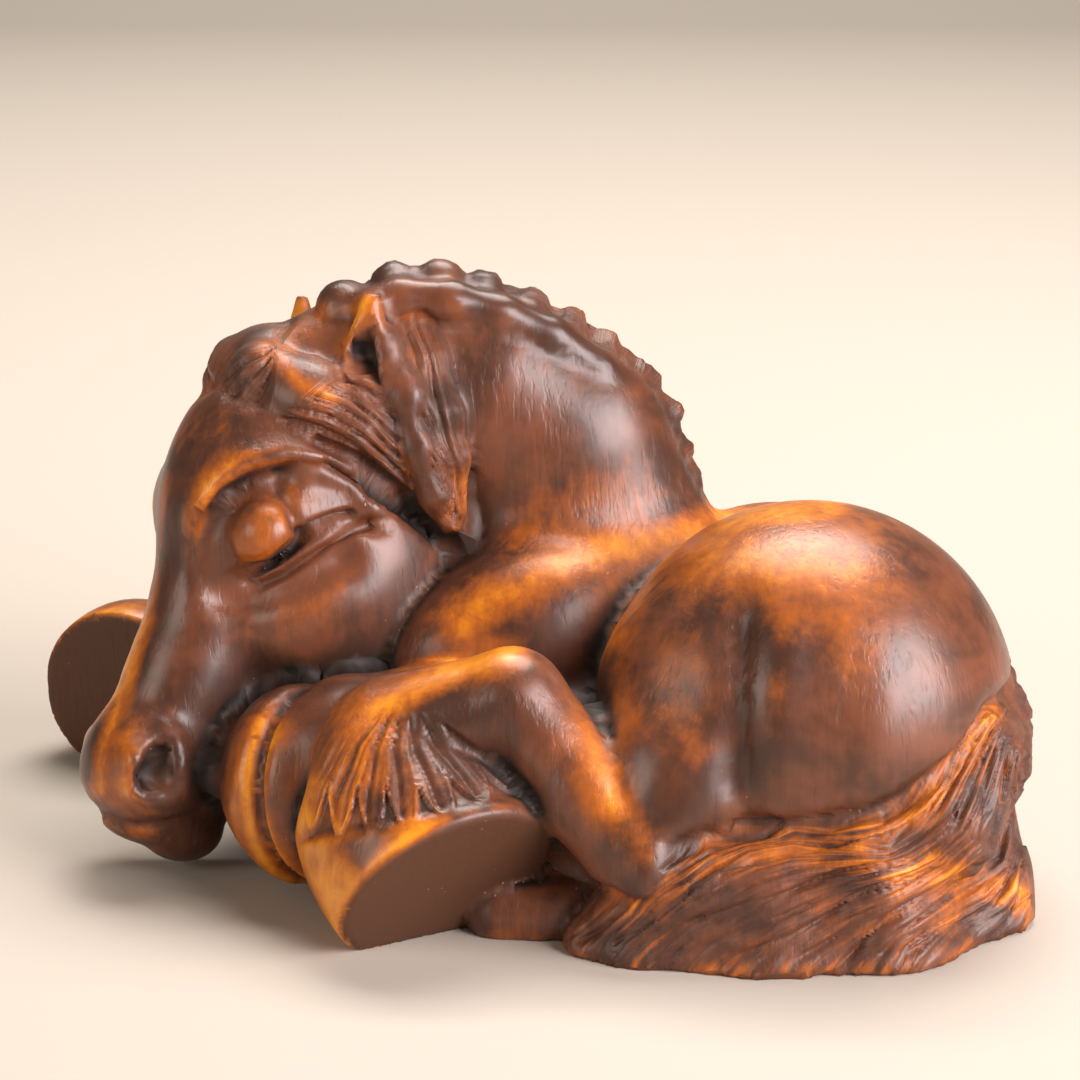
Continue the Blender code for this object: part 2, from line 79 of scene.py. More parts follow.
def to_grains(p):
    """From metres in the solid's frame to grains."""
    return np.asarray(p, float) / GRAIN + np.array([*MIDDLE, 0])


def put_in(name, data):
    """A new object in the scene."""
    made = bpy.data.objects.new(name, data)
    bpy.context.scene.collection.objects.link(made)
    return made


lens = bpy.data.cameras.new("camera")
lens.sensor_width = SENSOR
lens.lens = FOCAL_PIXELS / IMAGE_PIXELS * SENSOR
lens.clip_start = 0.001
camera = put_in("camera", lens)
camera.location = to_metres(CAMERA_PLACE)
camera.rotation_euler = (math.pi / 2 - CAMERA_TILT, 0, 0)
bpy.context.scene.camera = camera
print("camera with a", round(lens.lens, 1), "mm lens")

# %% [markdown]
# The floor is a pale sheet that curves up behind, as in a small photo studio, so no horizon shows.
# Soft light comes from large lamps. A wide one on the right gives the polished wood its broad milky sheen,
# one above lights the backs of the neck and rump, and a weak one on the left opens the shadows. A fourth
# is turned away from the carving, onto the sheet where it curves up, so the picture is pale to its top.

# %% The floor
FLOOR_HALF = 0.6
FLOOR_COLOUR = (0.47, 0.42, 0.36, 1.0)
CURVE_STEPS = 8
CURVE_STEP = 0.1

sheet = bmesh.new()
bmesh.ops.create_grid(sheet, x_segments=1, y_segments=1, size=FLOOR_HALF)
back = [edge for edge in sheet.edges if all(v.co.y > 0 for v in edge.verts)]
for turn in range(CURVE_STEPS):
    grown = bmesh.ops.extrude_edge_only(sheet, edges=back)["geom"]
    ends = [v for v in grown if isinstance(v, bmesh.types.BMVert)]
    angle = math.radians(90) * (turn + 1) / CURVE_STEPS
    way = (0, CURVE_STEP * math.cos(angle), CURVE_STEP * math.sin(angle))
    bmesh.ops.translate(sheet, verts=ends, vec=way)
    back = [e for e in grown if isinstance(e, bmesh.types.BMEdge)]
floor_mesh = bpy.data.meshes.new("floor")
sheet.to_mesh(floor_mesh)
sheet.free()
floor = put_in("floor", floor_mesh)
floor_mesh.shade_smooth()
paper = bpy.data.materials.new("pale_paper")
paper.use_nodes = True
paper_look = paper.node_tree.nodes["Principled BSDF"]
paper_look.inputs["Base Color"].default_value = FLOOR_COLOUR
paper_look.inputs["Roughness"].default_value = 0.8
paper_look.inputs["Specular IOR Level"].default_value = 0.2
floor_mesh.materials.append(paper)
print("floor of", len(floor_mesh.polygons), "faces")

# %% The lights
AIM = Vector((0, 0, 0.014))
BACKDROP = Vector((0, 0.70, 0.02))
LAMPS = [
    ("window", (0.28, -0.19, 0.16), 0.26, 0.24, 3.0, (1.0, 0.92, 0.93), AIM),
    ("above", (0.04, 0.11, 0.33), 0.24, 0.18, 1.35, (1.0, 0.94, 0.90), AIM),
    ("left", (-0.32, -0.22, 0.14), 0.2, 0.2, 0.62, (1.0, 0.90, 0.80), AIM),
    ("backdrop", (0.0, 0.30, 0.50), 0.5, 0.2, 3.6, (1.0, 0.95, 0.90), BACKDROP),
]
ROOM_COLOUR = (1.0, 0.94, 0.88, 1.0)
ROOM_STRENGTH = 0.14


def soft_light(name, place, width, height, power, colour, target):
    """A rectangular lamp that looks at a target."""
    data = bpy.data.lights.new(name, "AREA")
    data.shape = "RECTANGLE"
    data.size = width
    data.size_y = height
    data.energy = power
    data.color = colour
    lamp = put_in(name, data)
    lamp.location = place
    lamp.rotation_euler = (target - Vector(place)).to_track_quat("-Z", "Y").to_euler()


for lamp in LAMPS:
    soft_light(*lamp)
world = bpy.data.worlds.new("room")
world.use_nodes = True
room = world.node_tree.nodes["Background"]
room.inputs["Color"].default_value = ROOM_COLOUR
room.inputs["Strength"].default_value = ROOM_STRENGTH
bpy.context.scene.world = world
bpy.context.scene.view_settings.view_transform = "Standard"
print(len(LAMPS), "soft lamps and a dim room")

# %% [markdown]
# Fur and muscle have no flat faces to extrude, so the carving is done with fields. A field is a rule that
# gives a distance for every point: below zero is wood, above zero is air. Two fields melt together by a
# smooth minimum, just as two lumps of clay do under a thumb, and a cut is a smooth maximum. It is how
# a digital sculptor's clay works inside, and it keeps each mass editable as a few named numbers.

# %% Clay tools
CRISP = 0.3
CLOSE = 0.5
SOFT = 0.8
ROUND = 1.5
BROAD = 3.0
GROOVE_SHARPNESS = 0.6


def lengths(v):
    """The length of each row."""
    return np.linalg.norm(v, axis=1)


def unit(v):
    """The direction of v, one long."""
    v = np.asarray(v, float)
    return v / np.linalg.norm(v)


def melt(a, b, width):
    """Union of two fields, rounded where they meet over a width."""
    share = np.clip(0.5 + 0.5 * (b - a) / width, 0, 1)
    return b * (1 - share) + a * share - width * share * (1 - share)


def carve(a, b, width):
    """What two fields have in common; with b = -cutter it cuts."""
    return -melt(-a, -b, width)


def ball(p, centre, radii):
    """An ellipsoid."""
    q = p - np.asarray(centre, float)
    r = np.broadcast_to(np.asarray(radii, float), (3,))
    far = lengths(q / r)
    slope = lengths(q / r**2) + 1e-9
    return far * (far - 1) / slope


def limb(p, a, b):
    """A round bar from a to b, each given as a point with its radius."""
    start = np.array(a[:3])
    way = np.array(b[:3]) - start
    t = np.clip((p - start) @ way / (way @ way), 0, 1)
    return lengths(p - start - t[:, None] * way) - (a[3] + t * (b[3] - a[3]))


def chain(p, points, width):
    """Limbs through all the points, melted together."""
    d = limb(p, points[0], points[1])
    for a, b in zip(points[1:-1], points[2:]):
        d = melt(d, limb(p, a, b), width)
    return d


def follow(p, points):
    """For each p the nearest place on a line: length run to it, offset from it, and the line's direction."""
    nearest = np.full(len(p), np.inf)
    run = np.zeros(len(p))
    offset = np.zeros_like(p)
    ahead = np.zeros_like(p)
    done = 0.0
    size = p.shape[1]
    for a, b in zip(points[:-1], points[1:]):
        start = np.array(a[:size], float)
        way = np.array(b[:size], float) - start
        length = np.linalg.norm(way)
        t = np.clip((p - start) @ way / length**2, 0, 1)
        off = p - start - t[:, None] * way
        far = lengths(off)
        near = far < nearest
        nearest[near] = far[near]
        run[near] = done + t[near] * length
        offset[near] = off[near]
        ahead[near] = way / length
        done += length
    return run, offset, ahead


def drawn(p, depth, width, points):
    """A groove along a line, or a ridge where the depth is below zero."""
    far = lengths(follow(p, points)[1])
    return depth * np.exp(-(far / width) ** 2)


def ramp(x):
    """0 below 0, 1 above 1, smooth between."""
    x = np.clip(x, 0, 1)
    return x * x * (3 - 2 * x)


def grooves(phase):
    """Sharp grooves between round strands, one for each whole phase."""
    return 1 - np.abs(np.sin(np.pi * phase)) ** GROOVE_SHARPNESS


print("clay tools:", ", ".join(f.__name__ for f in (melt, carve, ball, limb, chain, follow, drawn, grooves)))

# %% [markdown]
# The body is six lumps: barrel, rump, chest, far shoulder, belly and flank, with a ridge over the shoulder.
# The neck is a chain of bars that thin towards the head, pressed a little flat. These are the same masses
# as the CAD solid's, because the finer carving has to fit over them.

# %% Body and neck
BARREL = ((3.0, 5.0, 9.0), (13.0, 11.5, 9.0))
RUMP = ((16.0, -1.0, 10.5), (9.5, 9.0, 9.3))
CHEST = ((-1.0, -1.5, 11.0), (7.0, 6.0, 6.8))
FAR_SHOULDER = ((-4.0, 8.0, 9.0), (9.0, 8.0, 8.5))
BELLY = ((5.0, 1.5, 4.0), (16.0, 13.0, 6.0))
FLANK = ((0.0, -9.0, 2.5), (7.5, 5.5, 3.6))
SHOULDER_RIDGE = [(-5.0, -4.0, 12.4, 3.0), (0.5, -2.0, 14.4, 3.0), (6.0, 1.0, 14.6, 3.2)]
NECK = [(1.0, 6.0, 10.0, 9.3), (1.8, 5.5, 17.0, 8.2), (0.4, 5.0, 22.0, 7.4),
        (-3.8, 4.4, 25.2, 6.8), (-8.5, 3.6, 26.6, 5.8), (-12.0, 2.6, 26.0, 5.2)]
NECK_MIDDLE = 5.0
NECK_THICKNESS = 0.78


def body(p):
    d = ball(p, *BARREL)
    for mass in (RUMP, CHEST, FAR_SHOULDER):
        d = melt(d, ball(p, *mass), BROAD)
    d = melt(d, chain(p, SHOULDER_RIDGE, BROAD), BROAD)
    d = melt(d, ball(p, *BELLY), ROUND)
    return melt(d, ball(p, *FLANK), ROUND)


def neck(p):
    q = p.copy()
    q[:, 1] = NECK_MIDDLE + (p[:, 1] - NECK_MIDDLE) / NECK_THICKNESS
    return chain(q, NECK, ROUND)


print("body of 7 masses, neck of", len(NECK) - 1, "bars")

# %% [markdown]
# The mane is cut short. A smooth roll runs along its near edge, a row of round tufts stands on the crest,
# and on the far side the hair hangs down in pointed locks. Behind the near ear a few strands fall forward.

# %% Mane
ROLL = [(-9.6, 1.4, 31.6), (-8.0, 1.5, 32.1), (-5.1, 1.5, 31.9), (-2.3, 1.9, 31.1), (0.6, 2.3, 29.7),
        (3.3, 2.8, 27.6), (5.4, 3.2, 24.8), (6.6, 3.6, 21.8), (7.0, 3.6, 19.4)]
ROLL_RADIUS = 1.2
CREST = [(-11.3, 3.0, 31.3, 1.7), (-8.4, 3.7, 32.5, 1.5), (-5.8, 3.8, 32.7, 1.5), (-3.3, 4.1, 32.1, 1.4),
         (-0.6, 4.3, 31.15, 1.3), (1.7, 4.6, 29.85, 1.25), (3.75, 5.0, 28.35, 1.2), (5.8, 5.4, 26.55, 1.15),
         (7.2, 5.8, 24.3, 1.1), (7.95, 6.0, 21.9, 1.05), (8.3, 6.0, 19.6, 1.0)]
LOCK_SIDE = 4.6
LOCK_DROP = 9.5
LOCK_WAVE = 0.9
LOCK_PITCH = 2.0
LOCK_RISE = 0.36
LOCK_GROOVE = 0.35
BEHIND_EAR = [(-7.4, 1.3, 31.0, 0.9), (-6.5, -0.1, 29.0, 0.9), (-5.5, -1.3, 26.0, 1.0),
              (-5.0, -1.8, 23.5, 0.9), (-4.8, -2.0, 20.5, 0.6)]
FAN = [(-8.6, 0.1, 29.6, 1.3), (-7.5, -0.9, 26.8, 1.6), (-6.7, -1.5, 24.0, 1.5), (-5.9, -1.9, 21.5, 1.1),
       (-5.1, -2.1, 19.6, 0.6)]


def mane(p):
    d = chain(p, [(*point, ROLL_RADIUS) for point in ROLL], CLOSE)
    for x, y, z, radius in CREST:
        d = melt(d, ball(p, (x, y, z), radius), SOFT)
    return d


def far_locks(p, d):
    run, offset, ahead = follow(p, CREST)
    drop = lengths(offset)
    ends = LOCK_DROP + LOCK_WAVE * np.cos(math.tau * run / LOCK_PITCH)
    cover = ramp(p[:, 1] - LOCK_SIDE) * ramp(ends - drop) * ramp(run) * ramp(run.max() - run)
    return d - cover * (LOCK_RISE - LOCK_GROOVE * grooves(run / LOCK_PITCH + 0.5))


print("mane with", len(CREST), "tufts")

# %% [markdown]
# The head is turned and tipped, so it is carved in axes of its own: out to the side, up from the bridge
# of the nose, and down to the muzzle. Eyes, nostrils and cheeks come in pairs, so the sideways number is
# made positive first and each is carved once. The closed lids, the brow and the mouth are lines drawn
# on the side of the head, some as ridges and some as grooves.

# %% Head
HEAD_PLACE = (-16.1, 0.1, 18.4)
HEAD_SIDE = (0.44, -0.88, 0.17)
HEAD_DOWN = (-0.337, -0.28, -0.9)
HEAD_FRONT = (-0.84, -0.34, 0.42)
SKULL = ((0.0, 0.5, -4.0), (5.8, 6.0, 7.5))
FOREHEAD = ((0.0, 1.9, -2.0), (5.4, 4.5, 6.0))
CHEEK = ((3.2, -4.5, 1.0), (3.9, 6.6, 6.8))
NOSE = [(0.0, 1.4, 0.0, 4.4), (0.0, 1.5, 9.0, 3.3), (0.0, 2.0, 14.0, 3.6)]
MUZZLE = ((0.0, 1.7, 15.0), (4.1, 4.0, 4.0))
NOSTRIL_BUMP = ((2.8, 2.9, 14.4), 2.0)
JAW = [(0.0, -4.5, 4.0, 3.2), (0.0, -1.6, 14.5, 2.4)]
LOWER_LIP = ((0.0, -0.8, 17.2), (2.6, 2.6, 2.2))
NOSTRIL = [(4.9, 3.4, 13.7, 0.75), (4.7, 2.7, 15.0, 0.85)]
NOSTRIL_RIM = [(3.6, 13.4), (2.8, 15.2)]
RIM_RADIUS = 1.5
RIM_RISE = 0.35
RIM_WIDTH = 0.6
EYEBALL = ((4.75, 1.75, 0.1), (2.2, 2.0, 2.1))
LID = [(4.5, 0.2, -1.6, 1.7), (4.8, -2.2, -3.0, 1.2)]
BROW = (-0.7, 0.9, [(5.4, 2.8), (5.8, 0.6), (5.4, -1.6), (4.3, -3.3), (2.4, -4.4), (0.2, -4.9), (-1.9, -4.6),
                    (-3.4, -3.6)])
ORBIT = (1.1, 0.85, [(2.6, 4.2), (3.7, 3.1), (4.3, 1.7), (4.4, 0.1), (4.1, -1.3), (3.4, -2.4), (2.2, -3.1)])
UNDER_EYE = (0.5, 1.3, [(1.2, 3.4), (-0.4, 1.6), (-2.4, 0.2)])
LASHES = (0.35, 0.5, [(2.6, 3.4), (1.5, 1.8), (0.2, 0.2), (-1.1, -1.1), (-2.6, -2.1), (-4.2, -2.5)])
MOUTH = (0.45, 0.4, [(5.8, 17.0), (4.6, 17.7), (3.0, 18.0), (1.2, 17.4), (-0.6, 16.2)])
SIDE_START = 2.0
SIDE_FADE = 2.0
FORELOCK = ((-1.0, 2.2, -7.6), (4.6, 3.8, 4.6))
CROWN = ((0.3, -1.6, -11.0), (3.7, 3.8, 4.2))
FORELOCK_CURL = ((-2.8, 4.2, -9.4), (1.5, 1.3, 1.3))
TEMPLE = [(2.0, 3.8, -8.3, 2.2), (4.0, 1.4, -7.9, 2.3), (4.9, -1.6, -7.5, 2.2), (4.7, -4.6, -6.6, 2.0),
          (4.3, -7.2, -5.1, 1.5), (4.0, -8.9, -4.0, 0.9)]
EAR = [(5.0, -1.0, -10.2, 1.9), (5.4, 0.5, -14.6, 0.5)]
EAR_HOLLOW = [(6.5, 0.3, -10.9, 1.15), (6.2, 0.9, -13.6, 0.4)]
SIDE = unit(HEAD_SIDE)
DOWN = unit(np.array(HEAD_DOWN) - np.dot(HEAD_DOWN, SIDE) * SIDE)
UP = np.cross(SIDE, DOWN)
UP = UP * np.sign(UP @ np.array(HEAD_FRONT))
HEAD_AXES = np.array([SIDE, UP, DOWN])


def head_hair(q, m):
    d = melt(ball(q, *FORELOCK), ball(q, *CROWN), ROUND)
    d = melt(d, ball(q, *FORELOCK_CURL), CLOSE)
    return melt(d, chain(m, TEMPLE, SOFT), CLOSE)


def head(p):
    q = (p - np.array(HEAD_PLACE)) @ HEAD_AXES.T
    m = q.copy()
    m[:, 0] = np.abs(m[:, 0])
    flat = m[:, 1:]
    side = np.clip((m[:, 0] - SIDE_START) / SIDE_FADE, 0, 1)
    d = melt(ball(q, *SKULL), ball(q, *FOREHEAD), ROUND)
    d = melt(d, ball(m, *CHEEK), ROUND)
    d = melt(d, chain(q, NOSE, ROUND), ROUND)
    d = melt(d, ball(q, *MUZZLE), ROUND)
    d = melt(d, ball(m, *NOSTRIL_BUMP), SOFT)
    d = melt(d, limb(q, *JAW), ROUND)
    d = melt(d, ball(q, *LOWER_LIP), CLOSE)
    d = d + side * (drawn(flat, *BROW) + drawn(flat, *ORBIT))
    d = melt(d, ball(m, *EYEBALL), CRISP)
    d = melt(d, limb(m, *LID), CLOSE)
    d = d + side * (drawn(flat, *UNDER_EYE) + drawn(flat, *LASHES))
    rim = lengths(follow(flat, NOSTRIL_RIM)[1]) - RIM_RADIUS
    d = d - RIM_RISE * side * np.exp(-(rim / RIM_WIDTH) ** 2)
    d = carve(d, -limb(m, *NOSTRIL), CRISP)
    d = d + drawn(flat, *MOUTH)
    d = melt(d, head_hair(q, m), CLOSE)
    ear = carve(limb(m, *EAR), -limb(m, *EAR_HOLLOW), CRISP)
    return melt(d, ear, CLOSE)


print("head with", len(BROW[2]), "points along each brow")

# %% [markdown]
# All four legs are folded under the horse. A hoof is an oval column cut off flat at the sole and rounded
# at the top; it is given by the middle of its sole, the way the sole faces, the way the toe points, two
# radii, a height and the slope of its toe. The near hind hoof shows its whole sole to the camera.

# %% Legs and hooves
THIGH = ((15.0, -8.5, 11.0), 11.4)
GASKIN = [(8.8, -11.0, 12.5, 5.6), (7.6, -14.4, 8.6, 4.6), (6.4, -17.0, 5.2, 3.2)]
THIGH_GROOVE = (0.45, 1.1, [(10.6, -16.0, 19.0), (10.2, -19.5, 15.5), (10.6, -19.5, 10.5)])
THIGH_HOLLOW = (0.3, 1.5, [(16.0, -19.0, 17.0), (15.4, -20.0, 12.0), (14.6, -20.0, 8.5)])
CANNON = [(6.3, -17.7, 4.8, 3.0), (2.4, -15.8, 8.6, 2.7), (-1.4, -13.8, 12.9, 2.8)]
PASTERN = [(-1.6, -13.8, 12.9, 2.8), (-7.6, -12.6, 10.0, 4.0)]
FETLOCK = ((-8.2, -13.6, 9.0), (4.2, 4.0, 4.0))
NEAR_HIND_HOOF = ((-4.9, -17.5, 3.7), (0.42, -0.72, -0.55), (-0.886, -0.176, -0.43), 5.8, 5.3, 7.5, -0.04)
FAR_FORE_HOOF = ((-26.8, 12.3, 4.5), (-0.4, -0.9, -0.12), (-0.62, 0.0, -0.78), 5.5, 4.4, 5.0, 0.05)
FAR_HIND_HOOF = ((-7.2, 15.2, 3.0), (-0.5, 0.45, -0.74), (-0.8, 0.1, 0.5), 4.6, 3.4, 5.0, 0.2)
HOOF_LENGTH = 1.08
HOOF_BULGE = 0.45
NEAR_FORELEG = [(1.0, -5.0, 7.0, 5.5), (-5.0, -7.4, 8.4, 4.4), (-10.4, -8.9, 8.4, 4.2)]
NEAR_PASTERN = ((-10.8, -9.0, 8.2), (4.6, 4.4, 4.5))
NEAR_FORE_HOOF = ((-13.5, -8.5, 6.2), (4.5, 4.8, 5.8))
NEAR_FORE_SOLE = (-0.72, 0.1, -0.68)
NEAR_FORE_LENGTH = 4.7
CHIN_REST = ((-16.6, -5.8, 7.4), 2.2)
CORONET = (-13.1, -9.0, 8.6)
CORONET_FACING = (-0.77, 0.62, -0.12)
CORONET_DEPTH = 0.8
CORONET_WIDTH = 0.5
CORONET_END = -9.0
FAR_FORELEG = [(-6.0, 9.0, 7.0, 6.5), (-14.0, 14.0, 5.6, 4.4), (-21.0, 15.8, 5.2, 3.7),
               (-24.5, 16.2, 5.8, 3.8)]
FAR_THIGH = ((14.5, 6.0, 9.2), 9.6)
FAR_GASKIN = [(7.0, 10.0, 8.0, 6.0), (3.0, 14.0, 5.0, 3.8), (6.5, 15.8, 3.2, 2.9)]
FAR_CANNON = [(6.5, 16.0, 3.0, 2.8), (0.0, 16.0, 3.4, 2.6), (-4.0, 15.0, 3.8, 2.9)]
LOW_LEG = [(8.0, -13.0, 2.2, 3.0), (2.7, -14.6, 0.9, 2.0), (-2.0, -14.0, 1.0, 2.2)]


def hoof(p, sole, facing, toe, radius, top_radius, height, slope):
    n = unit(facing)
    t = unit(np.array(toe) - np.dot(toe, n) * n)
    q = p - np.array(sole)
    up = -(q @ n)
    along = q @ t
    across = q @ np.cross(n, t)
    level = np.clip(up / height, 0, 1)
    r = radius + level * (top_radius - radius) + HOOF_BULGE * np.sin(math.pi * level)
    wall = np.hypot((along + slope * np.maximum(up, 0)) / HOOF_LENGTH, across) - r
    d = carve(wall, -up, CLOSE)
    return carve(d, up - height, ROUND)


def near_hind_leg(p):
    d = melt(ball(p, *THIGH), chain(p, GASKIN, ROUND), ROUND)
    return d + drawn(p, *THIGH_GROOVE) + drawn(p, *THIGH_HOLLOW)


def near_hind_foot(p):
    d = melt(chain(p, CANNON, SOFT), limb(p, *PASTERN), SOFT)
    foot = melt(hoof(p, *NEAR_HIND_HOOF), ball(p, *FETLOCK), ROUND)
    return melt(d, foot, CRISP)


def near_foreleg(p):
    sole = (p - np.array(NEAR_FORE_HOOF[0])) @ unit(NEAR_FORE_SOLE) - NEAR_FORE_LENGTH
    foot = melt(carve(ball(p, *NEAR_FORE_HOOF), sole, ROUND), ball(p, *NEAR_PASTERN), CLOSE)
    d = melt(chain(p, NEAR_FORELEG, ROUND), foot, CRISP)
    crease = np.exp(-((p - np.array(CORONET)) @ unit(CORONET_FACING) / CORONET_WIDTH) ** 2)
    return d + CORONET_DEPTH * crease * (p[:, 0] < CORONET_END)


def far_legs(p):
    fore = melt(chain(p, FAR_FORELEG, ROUND), hoof(p, *FAR_FORE_HOOF), CLOSE)
    hind = melt(ball(p, *FAR_THIGH), chain(p, FAR_GASKIN, ROUND), ROUND)
    hind = melt(hind, chain(p, FAR_CANNON, SOFT), SOFT)
    hind = melt(hind, hoof(p, *FAR_HIND_HOOF), CLOSE)
    return melt(fore, hind, SOFT)


print("four legs, the near hind hoof", NEAR_HIND_HOOF[3] * 2, "grains wide")

# %% [markdown]
# The tail comes round the rump, sweeps along the base on the near side and ends in a point under the hock.
# Its main locks are wide here. The finer ones are drawn later, on a denser mesh.

# %% Tail
TAIL = [(23.6, -1.0, 13.2, 1.9), (24.4, -5.5, 11.6, 2.3), (24.3, -10.0, 10.6, 2.7), (23.2, -13.4, 9.8, 3.2),
        (21.0, -16.0, 7.2, 3.5), (17.0, -17.0, 5.2, 3.7), (12.0, -17.0, 4.0, 3.8), (8.0, -17.2, 3.8, 3.5),
        (5.0, -17.3, 1.9, 2.4), (2.6, -17.4, 0.8, 1.5)]
TAIL_FOOT = [(23.8, -11.0, 6.0, 2.7), (24.0, -12.6, 1.2, 3.2), (18.0, -16.2, 0.8, 4.4),
             (12.0, -17.0, 0.8, 4.2), (6.0, -17.2, 0.5, 3.0)]


def tail(p):
    return melt(chain(p, TAIL, ROUND), chain(p, TAIL_FOOT, ROUND), ROUND)


tail_steps = np.diff(np.array(TAIL)[:, :3], axis=0)
print("tail", round(float(lengths(tail_steps).sum()), 1), "grains long")

# %% [markdown]
# Netsuke hang from a cord, so two holes in the underside meet inside the wood. They are where the CAD solid
# has them, in its own metres, and so is the flat floor that the carving rests on.

# %% The whole horse
CORD_HOLE = 0.0032
CORD_SPAN = 0.0095
CORD_DEPTH = 0.0055
CORD_PLACE = (0.004, 0.003)
CORD_BENDS = 6


def cord_channel(p):
    radius = CORD_HOLE / 2
    path = [(CORD_PLACE[0] - CORD_SPAN / 2, CORD_PLACE[1], -CORD_HOLE)]
    for k in range(CORD_BENDS + 1):
        turn = math.pi * k / CORD_BENDS
        path.append((CORD_PLACE[0] - CORD_SPAN / 2 * math.cos(turn), CORD_PLACE[1],
                     (CORD_DEPTH - radius) * math.sin(turn)))
    path.append((CORD_PLACE[0] + CORD_SPAN / 2, CORD_PLACE[1], -CORD_HOLE))
    return chain(p, [(*to_grains(point), radius / GRAIN) for point in path], CRISP)


def horse(p):
    d = melt(body(p), neck(p), BROAD)
    d = melt(d, melt(chain(p, BEHIND_EAR, SOFT), chain(p, FAN, SOFT), CLOSE), CLOSE)
    d = far_locks(p, melt(d, mane(p), CRISP))
    d = melt(d, far_legs(p), ROUND)
    d = melt(d, near_hind_leg(p), SOFT)
    d = melt(d, near_foreleg(p), CLOSE)
    d = melt(d, chain(p, LOW_LEG, SOFT), CLOSE)
    d = melt(d, ball(p, *CHIN_REST), CLOSE)
    d = melt(d, head(p), CLOSE)
    d = melt(d, near_hind_foot(p), CRISP)
    d = melt(d, tail(p), CRISP)
    return np.maximum(np.maximum(d, -p[:, 2]), -cord_channel(p))


print("field at the barrel's middle:", round(float(horse(np.array([BARREL[0]]))[0]), 1))

# %% [markdown]
# A sculptor's skin is even: squares of one size all over, so that no groove falls between the points.
# The CAD solid is long thin triangles, so a copy of it is merged and given a Remesh modifier, which lays
# such a skin. Then every point is pressed onto the field: it steps along the field's slope until the
# distance there is zero, and takes on the finer forms that the solid left out.

# %% Skin tools
PROBE = 0.05
PROBES = np.array([(1, -1, -1), (-1, -1, 1), (-1, 1, -1), (1, 1, 1)], float)
LEAST_SLOPE = 0.15


def places(mesh):
    """All points of a mesh, in grains."""
    flat = np.empty(len(mesh.vertices) * 3, np.float32)
    mesh.vertices.foreach_get("co", flat)
    return to_grains(flat.reshape(-1, 3))


def move(mesh, p):
    """Puts the points of a mesh at p, in grains."""
    mesh.vertices.foreach_set("co", to_metres(p).astype(np.float32).ravel())
    mesh.update()


def slope_of(p):
    """The field's slope, which points out of the wood."""
    return sum(np.outer(horse(p + PROBE * way), way) for way in PROBES) / (4 * PROBE)


def press(mesh, rounds, reach):
    """Moves every point of a mesh along the slope to the field's zero."""
    p = places(mesh)
    for turn in range(rounds):
        slope = slope_of(p)
        steep = np.maximum((slope * slope).sum(axis=1), LEAST_SLOPE)
        step = (horse(p) / steep)[:, None] * slope
        length = lengths(step)
        p = p - step * np.minimum(1, reach / np.maximum(length, 1e-9))[:, None]
    move(mesh, p)


def lay_skin(obj, size):
    """An even skin of squares over the object, by an applied Remesh modifier."""
    skin = obj.modifiers.new("skin", "REMESH")
    skin.mode = "VOXEL"
    skin.voxel_size = size * GRAIN
    graph = bpy.context.evaluated_depsgraph_get()
    shaped = bpy.data.meshes.new_from_object(obj.evaluated_get(graph))
    obj.modifiers.clear()
    before = obj.data
    obj.data = shaped
    bpy.data.meshes.remove(before)


# %% The skin
SKIN_SIZE = 0.56
SKIN_ROUNDS = 4
SKIN_REACH = 0.3

copy = bmesh.new()
copy.from_mesh(solid.data)
bmesh.ops.remove_doubles(copy, verts=copy.verts, dist=1e-7)
copy_mesh = bpy.data.meshes.new("carving")
copy.to_mesh(copy_mesh)
copy.free()
carving = put_in("carving", copy_mesh)
lay_skin(carving, SKIN_SIZE)
press(carving.data, SKIN_ROUNDS, SKIN_REACH)
print("skin of", len(carving.data.polygons), "squares, furthest off the field by",
      round(float(np.abs(horse(places(carving.data))).max()), 3), "grains")

# %% [markdown]
# Strands of hair are combed, not modelled one by one. A comb is a few guide lines, drawn as they are seen
# from the camera. Each point of the skin finds the two guides it lies between: its share of the way from
# one to the other says which strand it is on, and how far along the guides it is says where on the strand.
# Equal shares make long strands that follow the guides, however these bend and close up.

# %% Comb tools
WAVER = 0.25
WAVER_RATE = 0.031
SLOW_WAVER = 0.15
SLOW_RATE = 0.011
GROOVE_SHARE = 0.65


def seen(p):
    """Where the camera sees points: across and down the picture."""
    look = np.array([0, math.cos(CAMERA_TILT), -math.sin(CAMERA_TILT)])
    up = np.array([0, math.sin(CAMERA_TILT), math.cos(CAMERA_TILT)])
    v = p - np.array(CAMERA_PLACE)
    deep = v @ look
    half = IMAGE_PIXELS / 2
    return np.stack([half + FOCAL_PIXELS * v[:, 0] / deep, half - FOCAL_PIXELS * (v @ up) / deep], axis=1)


def within(at, outline, fade):
    """1 well inside an outline in the picture, 0 outside it."""
    inside = np.zeros(len(at), bool)
    for (ax, ay), (bx, by) in zip(outline, outline[1:] + outline[:1]):
        crosses = (ay > at[:, 1]) != (by > at[:, 1])
        level = (at[:, 1] - ay) / (by - ay + 1e-9)
        inside ^= crosses & (at[:, 0] < ax + level * (bx - ax))
    far = lengths(follow(at, outline + outline[:1])[1])
    return inside * ramp(far / fade)


def comb(at, guides):
    """For each point, how many guides across it lies and how far along them."""
    found = [follow(at, guide) for guide in guides]
    far = np.array([lengths(offset) for run, offset, ahead in found])
    runs = np.array([run for run, offset, ahead in found])
    gap = np.argmin(far[:-1] + far[1:], axis=0)
    each = np.arange(len(at))
    first = far[gap, each]
    second = far[gap + 1, each]
    share = first / (first + second + 1e-9)
    return gap + share, runs[gap, each] * (1 - share) + runs[gap + 1, each] * share


def cover(at, guides, fade):
    """1 between the first guide and the last, 0 outside them."""
    return within(at, guides[0] + guides[-1][::-1], fade)


